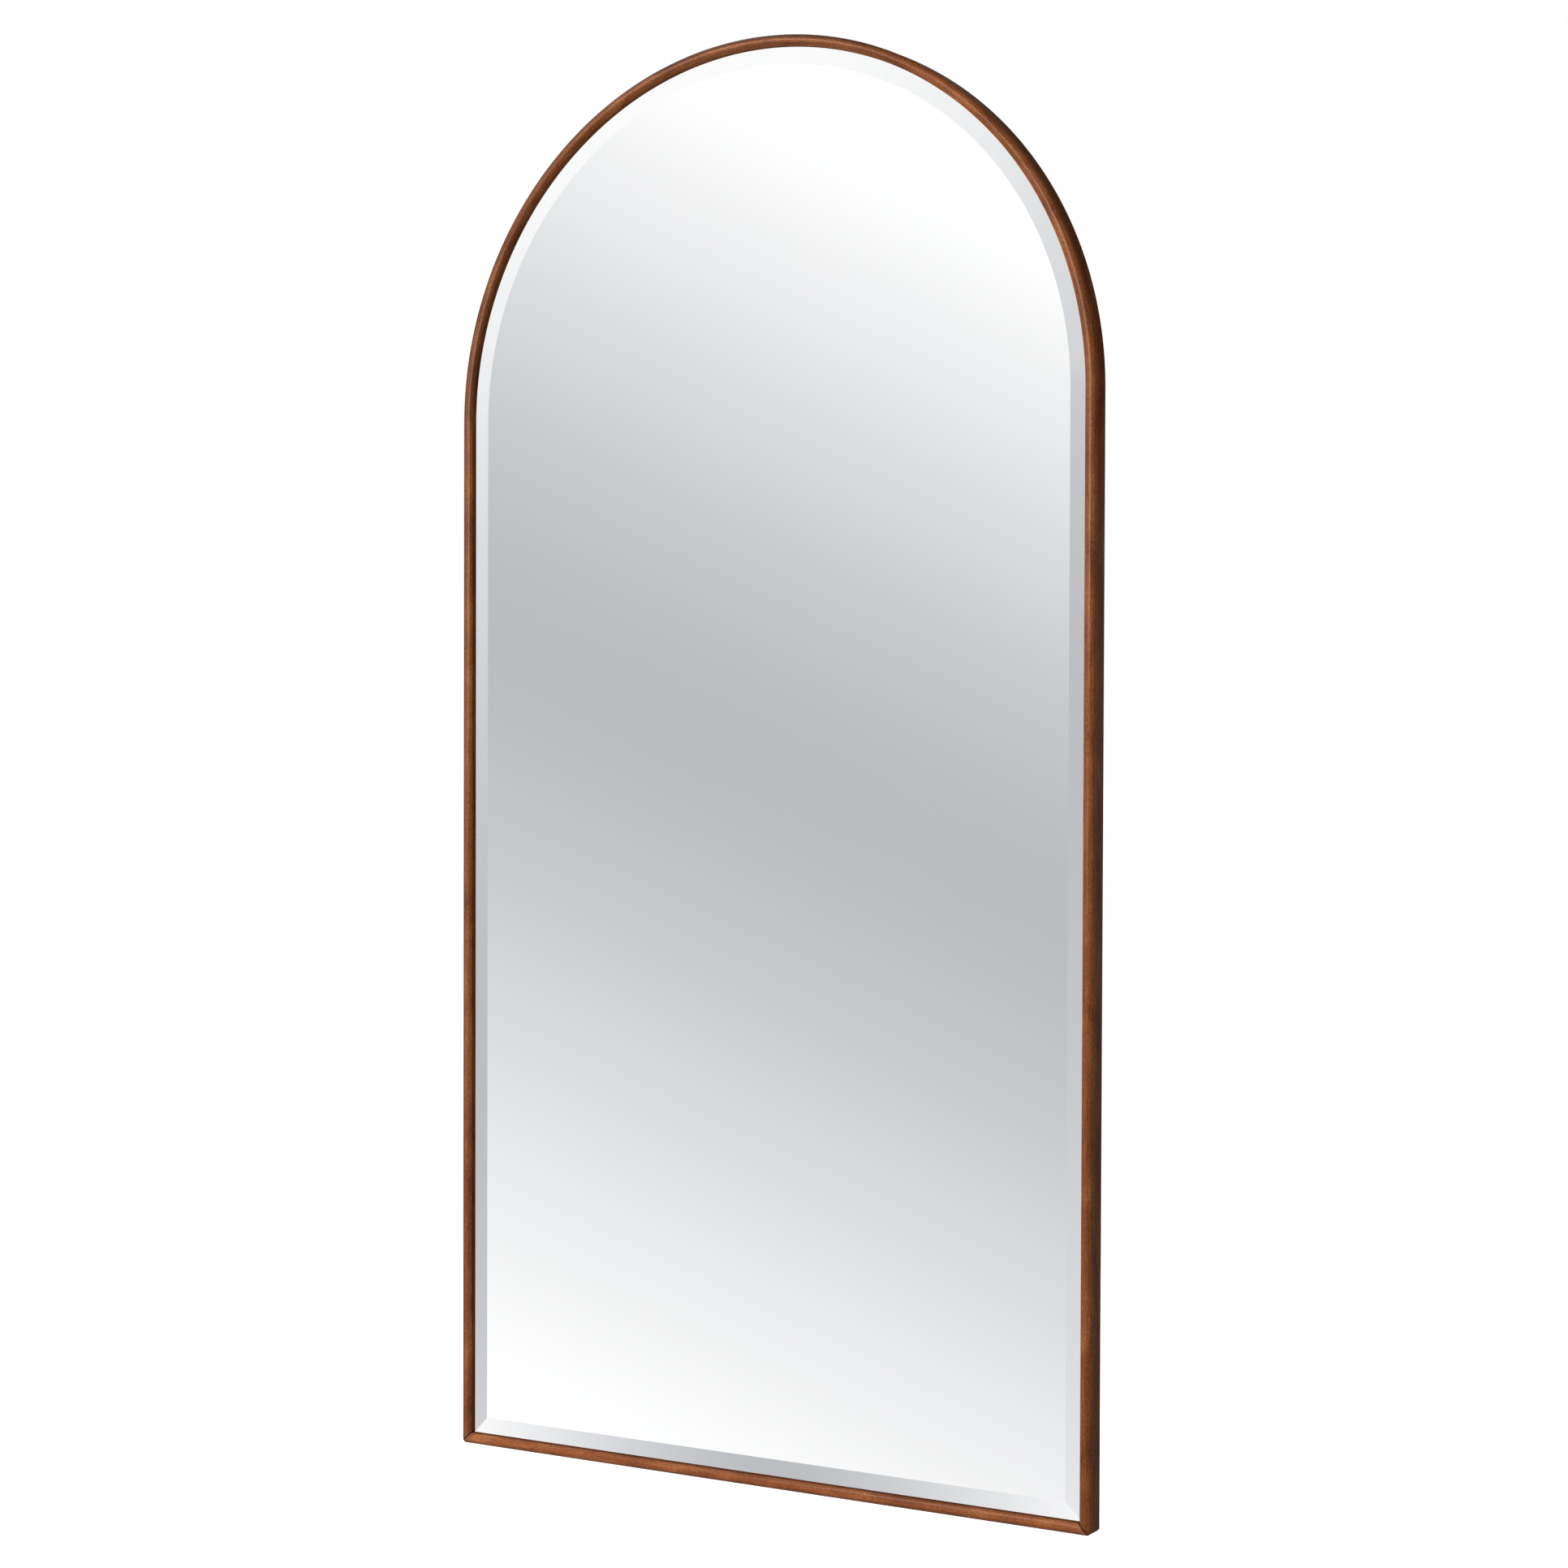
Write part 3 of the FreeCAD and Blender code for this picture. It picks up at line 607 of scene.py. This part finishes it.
def make_walnut(name, tone, inner=0.0, start=0.0016, outer=0.0, even=True):
    """Oiled walnut: orange-brown, streaked along the grain, with short dark pores under a satin coat.

    tone scales the colour. Painted shade darkens the flanks of the crown by the shares inner, from
    start on, and outer: on an even member all along, on the others towards the left. Oil has gathered
    in the mitres' grooves, and painted shade darkens the inner side of the lip, beside the glass. From
    there round to the back the wood has no coat and is dull, and so is the outer side high up. Painted
    light makes the outer side paler towards the front.
    """
    material, tree, shader = new_material(name)
    grain = add_node(tree, "ShaderNodeUVMap", uv_map="grain").outputs["UV"]
    wood = place_group(tree, WOOD_GRAIN, vector=grain, pores=1500.0)
    streaks = math_node(tree, "MULTIPLY", wood["Figure"], 0.45)
    figure = math_node(tree, "MULTIPLY_ADD", wood["Clouds"], 0.55, streaks)
    body = colour_ramp(tree, figure, [
        (0.34, (0.180, 0.047, 0.012)),
        (0.50, (0.325, 0.096, 0.026)),
        (0.66, (0.465, 0.162, 0.052)),
    ])
    fibre = remap(tree, wood["Fibre"], 0.3, 0.7, 0.76 * tone, 1.18 * tone)
    flecks = remap(tree, wood["Flecks"], 0.3, 0.7, 0.74, 1.26)

    section = add_node(tree, "ShaderNodeSeparateXYZ")
    feed(tree, section.inputs[0], grain)
    place = add_node(tree, "ShaderNodeSeparateXYZ")
    feed(tree, place.inputs[0], object_place(tree))
    inward = math_node(tree, "SUBTRACT", section.outputs["Y"], crown_middle() * MM)
    outer_side = fade(tree, inward, OUTER_SIDE)
    # Painted light: the outer side is made up to 0.6 paler towards the front
    painted_side_light = math_node(tree, "MULTIPLY", outer_side, fade(tree, inward, PAINTED_SIDE_LIGHT, 0.6))
    tint = body
    for change in (fibre, flecks, math_node(tree, "ADD", painted_side_light, 1.0)):
        tint = mix_colour(tree, 1.0, tint, change, "MULTIPLY")

    # Painted shade: the crown's flanks are darkened by the shares inner and outer, on uneven members only
    # towards the left
    inner_flank = fade(tree, inward, (start, start + INNER_FLANK), inner)
    on_inner = math_node(tree, "MULTIPLY", inner_flank, fade(tree, inward, INNER_EDGE))
    outer_flank = fade(tree, inward, OUTER_FLANK, outer)
    on_outer = math_node(tree, "MULTIPLY", outer_flank, fade(tree, inward, OUTER_EDGE))
    painted_shade_and_oil = math_node(tree, "ADD", on_inner, on_outer)
    if not even:
        painted_shade_and_oil = math_node(tree, "MULTIPLY", painted_shade_and_oil, fade(tree, place.outputs["X"], TOWARDS_LEFT))
    uncoated = fade(tree, inward, LIP_SIDE)
    # Painted shade: the inner side of the lip, beside the glass, is darkened by a share of 0.3
    lip_painted_shade = math_node(tree, "MULTIPLY", uncoated, fade(tree, inward, LIP_REAR, 0.3))
    aside = math_node(tree, "ABSOLUTE", place.outputs["X"])
    from_side = math_node(tree, "SUBTRACT", HALF_WIDTH * MM, aside)
    from_mitre = math_node(tree, "ABSOLUTE", math_node(tree, "SUBTRACT", from_side, place.outputs["Z"]))
    for share in (lip_painted_shade, fade(tree, from_mitre, MITRE_GROOVE, 0.8)):
        painted_shade_and_oil = math_node(tree, "MAXIMUM", painted_shade_and_oil, share)
    # Painted shade on the flanks and the lip, together with the oil in the mitres, darkens the colour
    # towards near-black
    tint = mix_colour(tree, painted_shade_and_oil, tint, (0.010, 0.003, 0.001, 1))
    pore_share = math_node(tree, "MULTIPLY", wood["Pores"], 0.6)
    feed(tree, shader.inputs["Base Color"], mix_colour(tree, pore_share, tint, (0.060, 0.020, 0.006, 1)))

    dull_side = math_node(tree, "MULTIPLY", outer_side, fade(tree, place.outputs["Z"], HIGH_UP, 0.9))
    dull = math_node(tree, "MAXIMUM", uncoated, dull_side)
    satin = remap(tree, figure, 0.3, 0.7, 0.48, 0.38)
    rough = math_node(tree, "MAXIMUM", satin, math_node(tree, "MULTIPLY", dull, 0.95))
    feed(tree, shader.inputs["Roughness"], rough)
    feed(tree, shader.inputs["Coat Weight"], remap(tree, dull, 0, 1, 0.36, 0.0))
    shader.inputs["Coat Roughness"].default_value = 0.16
    shader.inputs["Specular IOR Level"].default_value = 0.06
    fibre_height = math_node(tree, "MULTIPLY", wood["Fibre"], 0.35)
    height = math_node(tree, "MULTIPLY_ADD", wood["Pores"], -1.0, fibre_height)
    add_bump(tree, shader, height, 0.16, 0.0001)
    return material


def make_beech():
    """Plain beech of the loose tenons: pale, with short flecks."""
    material, tree, shader = new_material("beech_plain")
    turned = add_node(tree, "ShaderNodeMapping")
    turned.inputs["Rotation"].default_value = (0, math.radians(90), 0)
    feed(tree, turned.inputs["Vector"], object_place(tree))
    wood = place_group(tree, WOOD_GRAIN, vector=turned.outputs["Vector"], streaks=300.0, pores=1800.0)
    body = colour_ramp(tree, wood["Figure"], [(0.3, (0.52, 0.31, 0.17)), (0.7, (0.68, 0.45, 0.27))])
    feed(tree, shader.inputs["Base Color"], mix_colour(tree, wood["Pores"], body, (0.33, 0.17, 0.08, 1)))
    feed(tree, shader.inputs["Roughness"], remap(tree, wood["Clouds"], 0.3, 0.7, 0.55, 0.7))
    add_bump(tree, shader, wood["Fibre"], 0.2, 0.0001)
    return material


def make_silver():
    """Silvered face of the glass: a clear mirror with a breath of unevenness in tone and polish."""
    material, tree, shader = new_material("silvered_glass")
    mottle = place_group(tree, FINE_MOTTLE, vector=object_place(tree), scale=3.0)
    tone = colour_ramp(tree, mottle["Coarse"], [(0.3, (0.945, 0.950, 0.955)), (0.7, (0.955, 0.958, 0.960))])
    feed(tree, shader.inputs["Base Color"], tone)
    shader.inputs["Roughness"].default_value = 0.0
    shader.inputs["Metallic"].default_value = 1.0
    return material


def make_glass_edge():
    """Ground edge of the plate: pale green, slightly frosted."""
    material, tree, shader = new_material("ground_glass_edge")
    mottle = place_group(tree, FINE_MOTTLE, vector=object_place(tree), scale=90.0)
    tone = colour_ramp(tree, mottle["Coarse"], [(0.3, (0.30, 0.44, 0.38)), (0.7, (0.44, 0.56, 0.50))])
    feed(tree, shader.inputs["Base Color"], tone)
    feed(tree, shader.inputs["Roughness"], remap(tree, mottle["Fine"], 0.3, 0.7, 0.25, 0.45))
    add_bump(tree, shader, mottle["Fine"], 0.2, 0.00005)
    return material


def make_back_paint():
    """Protective paint over the silver: grey-brown, with a faint roller texture."""
    material, tree, shader = new_material("mirror_back_paint")
    mottle = place_group(tree, FINE_MOTTLE, vector=object_place(tree), scale=160.0)
    tone = colour_ramp(tree, mottle["Coarse"], [(0.3, (0.17, 0.15, 0.13)), (0.7, (0.22, 0.20, 0.17))])
    feed(tree, shader.inputs["Base Color"], tone)
    feed(tree, shader.inputs["Roughness"], remap(tree, mottle["Coarse"], 0.3, 0.7, 0.5, 0.65))
    add_bump(tree, shader, mottle["Fine"], 0.25, 0.00006)
    return material


def make_fibreboard():
    """Pressed fibreboard: warm brown with pale and dark fibres, matt."""
    material, tree, shader = new_material("fibreboard_raw")
    place = object_place(tree)
    mottle = place_group(tree, FINE_MOTTLE, vector=place, scale=60.0)
    body = colour_ramp(tree, mottle["Coarse"], [(0.28, (0.30, 0.185, 0.100)), (0.72, (0.40, 0.265, 0.155))])
    lines = noise(tree, stretched(tree, place, (0.25, 1, 1)), 2200.0, 2.0, 0.6, 1.2)
    crossing = noise(tree, stretched(tree, place, (1, 1, 0.25)), 2200.0, 2.0, 0.6, 1.2)
    fibres = math_node(tree, "MAXIMUM", lines, crossing)
    pale = remap(tree, fibres, 0.62, 0.78, 0.0, 0.55, "SMOOTHSTEP")
    flecked = mix_colour(tree, pale, body, (0.56, 0.42, 0.28, 1))
    dark = remap(tree, mottle["Fine"], 0.36, 0.24, 0.0, 0.6, "SMOOTHSTEP")
    feed(tree, shader.inputs["Base Color"], mix_colour(tree, dark, flecked, (0.15, 0.085, 0.045, 1)))
    feed(tree, shader.inputs["Roughness"], remap(tree, fibres, 0.4, 0.8, 0.9, 0.72))
    add_bump(tree, shader, fibres, 0.3, 0.00015)
    return material


def make_steel(name, dark, pale, low, high, scale):
    """Plated steel: a mottled tint and an uneven polish over bare metal."""
    material, tree, shader = new_material(name)
    mottle = place_group(tree, FINE_MOTTLE, vector=object_place(tree), scale=scale)
    feed(tree, shader.inputs["Base Color"], colour_ramp(tree, mottle["Coarse"], [(0.3, dark), (0.7, pale)]))
    feed(tree, shader.inputs["Roughness"], remap(tree, mottle["Fine"], 0.3, 0.7, low, high))
    shader.inputs["Metallic"].default_value = 1.0
    add_bump(tree, shader, mottle["Fine"], 0.12, 0.00004)
    return material


def make_soft_fill(name, dark, pale, rough, scale, depth):
    """Rubber or foam: a dull mottled tone over a fine cellular skin."""
    material, tree, shader = new_material(name)
    mottle = place_group(tree, FINE_MOTTLE, vector=object_place(tree), scale=scale)
    feed(tree, shader.inputs["Base Color"], colour_ramp(tree, mottle["Coarse"], [(0.3, dark), (0.7, pale)]))
    feed(tree, shader.inputs["Roughness"], remap(tree, mottle["Coarse"], 0.3, 0.7, rough, rough + 0.12))
    add_bump(tree, shader, mottle["Fine"], 0.3, depth)
    return material


# Painted shade darkens the crown's flanks on the arch and the left stile but not on the right stile, whose
# wood is darker; the bottom rail is painted paler as painted light
WALNUT = {
    "arch": make_walnut("walnut_satin_painted_shade", tone=0.97, inner=0.5, start=0.0002, outer=0.6, even=False),
    "bottom_rail": make_walnut("walnut_satin_painted_light", tone=1.18, outer=0.4),
    "stile_left": make_walnut("walnut_satin", tone=0.95, inner=0.22, outer=0.68, even=False),
    "stile_right": make_walnut("walnut_satin_plain", tone=0.89),
}
FINISHES = {
    "beech": make_beech(),
    "silvered_glass": make_silver(),
    "fibreboard": make_fibreboard(),
    "bright_steel": make_steel(
        "bright_steel", (0.56, 0.56, 0.57), (0.70, 0.70, 0.70), 0.24, 0.38, 220.0),
    "zinc_steel": make_steel(
        "zinc_plated_steel", (0.52, 0.53, 0.55), (0.68, 0.68, 0.67), 0.28, 0.46, 160.0),
    "block_rubber": make_soft_fill(
        "block_rubber", (0.016, 0.016, 0.017), (0.030, 0.030, 0.031), 0.62, 260.0, 0.0001),
    "tape_foam": make_soft_fill(
        "tape_foam", (0.62, 0.61, 0.58), (0.74, 0.73, 0.70), 0.80, 420.0, 0.0002),
}


def dress(piece, slot, body, *nodes, finish=None):
    """Gives a new piece its finish and its body, and lets it stand for its nodes."""
    piece.data.materials.clear()
    piece.data.materials.append(finish or FINISHES[slot])
    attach(piece, body)
    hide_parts(*nodes)
    return piece


# The pieces

members = [
    dress(make_arch("walnut_arch"), "walnut", "mirror", "arch", finish=WALNUT["arch"]),
    dress(make_rail("walnut_bottom_rail"), "walnut", "mirror", "bottom_rail", finish=WALNUT["bottom_rail"]),
]
for side_name, side_sign in (("left", -1), ("right", 1)):
    node = f"stile_{side_name}"
    stile = make_stile(f"walnut_stile_{side_name}", side_sign)
    members.append(dress(stile, "walnut", "mirror", node, finish=WALNUT[node]))
    strap = make_strap(f"strap_hanger_{side_name}", side_sign)
    dress(strap, "zinc_steel", "mirror", f"hanger_plate_{side_name}")
    ring = make_ring(f"hanging_ring_{side_name}", side_sign)
    dress(ring, "zinc_steel", f"ring_{side_name}", f"hanger_ring_{side_name}")

# The bevels show only the studio, so the frame stays out of the reflections
for member in members:
    member.visible_glossy = False

plate = dress(make_glass("bevelled_glass"), "silvered_glass", "mirror", "mirror_glass")
plate.data.materials.append(make_glass_edge())
plate.data.materials.append(make_back_paint())

screws = [
    piece_from_grid(f"screw_{sign}_{drop:.0f}", screw_grid(sign * HANGER_HALF, HANGER_HEIGHT - drop))
    for sign in (-1, 1) for drop in SCREW_DROPS
]
dress(join_pieces("strap_screws", screws), "zinc_steel", "mirror", "hanger_screws")

for row in frame["record"]["subparts"]:
    shown = frame["nodes"][row["node"]]
    if not shown.hide_render:
        shown.data.materials.clear()
        shown.data.materials.append(FINISHES[row["material_slot"]])


# Studio

YAW = 0.5357
PITCH = -0.0207
ROLL = 0.0032
CAMERA_PLACE = (1.992, -3.323, 0.959)
LENS_PX = 3811.0
IMAGE_PX = 1932.0
SENSOR = 36.0
# Share of the light that the silver gives back
SILVER_SHARE = 0.955


def make_camera():
    """Camera turned by yaw, pitch and roll from a level look along +Y."""
    ahead = Vector((-math.sin(YAW), math.cos(YAW), 0))
    right = Vector((math.cos(YAW), math.sin(YAW), 0))
    up = Vector((0, 0, 1))
    look = ahead * math.cos(PITCH) + up * math.sin(PITCH)
    top = up * math.cos(PITCH) - ahead * math.sin(PITCH)
    x_axis = right * math.cos(ROLL) + top * math.sin(ROLL)
    y_axis = top * math.cos(ROLL) - right * math.sin(ROLL)
    data = bpy.data.cameras.new("photo_view")
    data.sensor_width = SENSOR
    data.lens = LENS_PX / IMAGE_PX * SENSOR
    camera = bpy.data.objects.new("photo_view", data)
    turn = Matrix((x_axis, y_axis, -look)).transposed()
    camera.matrix_world = Matrix.Translation(CAMERA_PLACE) @ turn.to_4x4()
    bpy.context.scene.collection.objects.link(camera)
    bpy.context.scene.camera = camera


def make_softbox(name, place, target, size, power, colour, unlit, body=True, sheen=True):
    """Soft rectangular light, out of sight, that leaves the pieces in unlit alone.

    It lights the body of a surface, its sheen, or both.
    """
    data = bpy.data.lights.new(name, "AREA")
    data.shape = "RECTANGLE"
    data.size, data.size_y = size
    data.energy = power
    data.color = colour
    light = bpy.data.objects.new(name, data)
    light.location = place
    light.rotation_mode = "QUATERNION"
    light.rotation_quaternion = (Vector(target) - Vector(place)).to_track_quat("-Z", "Y")
    light.visible_camera = False
    light.visible_diffuse = body
    light.visible_glossy = sheen
    light.light_linking.receiver_collection = unlit
    bpy.context.scene.collection.objects.link(light)


def hollow(tree, value, centre, width, slope, low):
    """A soft valley: low at its centre, and rising on both sides as a hyperbola."""
    away = math_node(tree, "SUBTRACT", value, centre)
    square = math_node(tree, "MULTIPLY_ADD", away, away, width * width)
    rise = math_node(tree, "SUBTRACT", math_node(tree, "SQRT", square), width)
    return math_node(tree, "MULTIPLY_ADD", rise, slope, low)


def blend(tree, share, first, second):
    node = add_node(tree, "ShaderNodeMix", data_type="FLOAT")
    for socket, value in zip(node.inputs[:1] + node.inputs[2:4], (share, first, second)):
        feed(tree, socket, value)
    return node.outputs[0]


def make_studio_world():
    """Studio round the mirror: white where it is seen, soft grey cards where it is reflected.

    Across is measured along the level line that the glass shows from side to side, and up along Z.
    """
    world = bpy.data.worlds.new("studio")
    world.use_nodes = True
    bpy.context.scene.world = world
    tree = world.node_tree
    tree.nodes.clear()
    way = add_node(tree, "ShaderNodeTexCoord").outputs["Generated"]
    dot = add_node(tree, "ShaderNodeVectorMath", operation="DOT_PRODUCT")
    feed(tree, dot.inputs[0], way)
    dot.inputs[1].default_value = (math.cos(YAW), -math.sin(YAW), 0)
    across = dot.outputs["Value"]
    parts = add_node(tree, "ShaderNodeSeparateXYZ")
    feed(tree, parts.inputs[0], way)
    up = parts.outputs["Z"]

    # Slanted grey band in the middle of the glass
    slant = math_node(tree, "MULTIPLY_ADD", across, 0.47, up)
    band = hollow(tree, slant, -0.0091, 0.076, 3.29, 0.510)
    middle = math_node(tree, "MULTIPLY_ADD", slant, 0.316, band)
    # Grey cards that the bevels turn towards
    left_top = math_node(tree, "MULTIPLY_ADD", up, 0.55, 0.775)
    left = hollow(tree, up, -0.108, 0.125, 2.58, 0.515)
    for most in (left_top, 0.965):
        left = math_node(tree, "MINIMUM", left, most)
    right_low = hollow(tree, up, -0.005, 0.16, 2.2, 0.515)
    side = math_node(tree, "MINIMUM", math_node(tree, "MAXIMUM", across, 0.0), 0.42)
    right_top = math_node(tree, "MULTIPLY_ADD", math_node(tree, "MULTIPLY", side, side), -1.85, 0.95)
    right = blend(tree, fade(tree, up, (0.10, 0.16)), right_low, right_top)
    right = math_node(tree, "MINIMUM", math_node(tree, "MAXIMUM", right, 0.5), 0.96)
    sides = blend(tree, fade(tree, across, (-0.12, 0.12)), left, right)
    below = math_node(tree, "MULTIPLY_ADD", across, -0.52, hollow(tree, across, -0.065, 0.03, 6.5, 0.478))
    below = math_node(tree, "MINIMUM", math_node(tree, "MAXIMUM", below, 0.5), 0.95)
    outer = blend(tree, fade(tree, up, (-0.38, -0.44)), sides, below)
    aside = fade(tree, math_node(tree, "ABSOLUTE", across), (0.15, 0.26))
    above = fade(tree, up, (0.27, 0.36))
    under = fade(tree, up, (-0.31, -0.40))
    outside = math_node(tree, "MAXIMUM", math_node(tree, "MAXIMUM", aside, above), under)
    grey = math_node(tree, "MULTIPLY", blend(tree, outside, middle, outer), 1 / SILVER_SHARE)
    cool = mix_colour(tree, remap(tree, grey, 0.5, 1.0, 1, 0), (1, 1, 1, 1), (0.985, 0.995, 1.045, 1))
    reflected = mix_colour(tree, 1.0, grey, cool, "MULTIPLY")

    # Soft light from the front and the left, little from the right and from above
    front = remap(tree, parts.outputs["Y"], 0.6, -0.8, 0.22, 0.54, "SMOOTHSTEP")
    from_left = remap(tree, parts.outputs["X"], 0.7, -0.7, 0.82, 1.0, "SMOOTHSTEP")
    from_low = remap(tree, up, 0.7, -0.6, 0.25, 1.0, "SMOOTHSTEP")
    ambient = math_node(tree, "MULTIPLY", math_node(tree, "MULTIPLY", front, from_left), from_low)
    # Sheen of the wood and the steel: a pale wall on the left, darkness elsewhere
    wall = remap(tree, parts.outputs["X"], 0.05, -0.45, 0.25, 1.25, "SMOOTHSTEP")
    far_left = remap(tree, parts.outputs["X"], -0.80, -0.95, 1.0, 0.4, "SMOOTHSTEP")
    wall = math_node(tree, "MULTIPLY", wall, far_left)
    over_floor = remap(tree, up, -0.45, 0.25, 0.45, 1.0, "SMOOTHSTEP")
    under_roof = remap(tree, up, 0.80, 0.97, 1.0, 0.3, "SMOOTHSTEP")
    sheen = math_node(tree, "MULTIPLY", math_node(tree, "MULTIPLY", wall, over_floor), under_roof)

    path = add_node(tree, "ShaderNodeLightPath").outputs
    soft = blend(tree, path["Is Glossy Ray"], ambient, sheen)
    lit = mix_colour(tree, path["Is Singular Ray"], soft, reflected)
    seen = mix_colour(tree, path["Is Camera Ray"], lit, (1, 1, 1, 1))
    background = add_node(tree, "ShaderNodeBackground")
    feed(tree, background.inputs["Color"], seen)
    output = add_node(tree, "ShaderNodeOutputWorld")
    feed(tree, output.inputs["Surface"], background.outputs[0])


FLOOR_LEVEL = -0.35
FLOOR_HALF = 9.0


def make_floor():
    """Plain pale floor, some way under the hanging mirror."""
    mesh = bpy.data.meshes.new("studio_floor")
    corners = FLOOR_HALF * np.array([(-1, -1), (1, -1), (1, 1), (-1, 1)])
    mesh.from_pydata([(x, y, FLOOR_LEVEL) for x, y in corners], [], [(0, 1, 2, 3)])
    floor = bpy.data.objects.new("studio_floor", mesh)
    material, tree, shader = new_material("pale_floor")
    mottle = place_group(tree, FINE_MOTTLE, vector=object_place(tree), scale=2.0)
    tone = colour_ramp(tree, mottle["Coarse"], [(0.3, (0.86, 0.86, 0.86)), (0.7, (0.88, 0.88, 0.88))])
    feed(tree, shader.inputs["Base Color"], tone)
    shader.inputs["Roughness"].default_value = 0.9
    shader.inputs["Emission Color"].default_value = (1, 1, 1, 1)
    shader.inputs["Emission Strength"].default_value = 0.9
    mesh.materials.append(material)
    floor.visible_glossy = False
    floor.visible_diffuse = False
    bpy.context.scene.collection.objects.link(floor)


make_camera()
make_floor()
make_studio_world()
mirrors = bpy.data.collections.new("mirrors")
mirrors.objects.link(plate)
mirrors.collection_objects[0].light_linking.link_state = "EXCLUDE"
make_softbox("key_softbox", place=(-0.6, -3.0, 1.0), target=(-0.2, 0, 1.0), size=(2.4, 1.4), power=68,
             colour=(1.0, 0.97, 0.93), unlit=mirrors, sheen=False)
make_softbox("sheen_softbox", place=(-0.1, -3.0, 1.95), target=(0, 0, 1.4), size=(1.6, 1.8), power=60,
             colour=(1.0, 0.86, 0.74), unlit=mirrors, body=False)
make_softbox("arch_softbox", place=(-1.74, -2.89, 2.74), target=(0, 0, 1.8), size=(0.8, 0.8), power=18,
             colour=(1.0, 0.86, 0.74), unlit=mirrors, body=False)
make_softbox("back_softbox", place=(-1.2, 3.2, 1.6), target=(0, 0, 0.9), size=(1.6, 1.6), power=60,
             colour=(1.0, 0.98, 0.96), unlit=mirrors, sheen=False)
bpy.context.scene.view_settings.view_transform = "Standard"
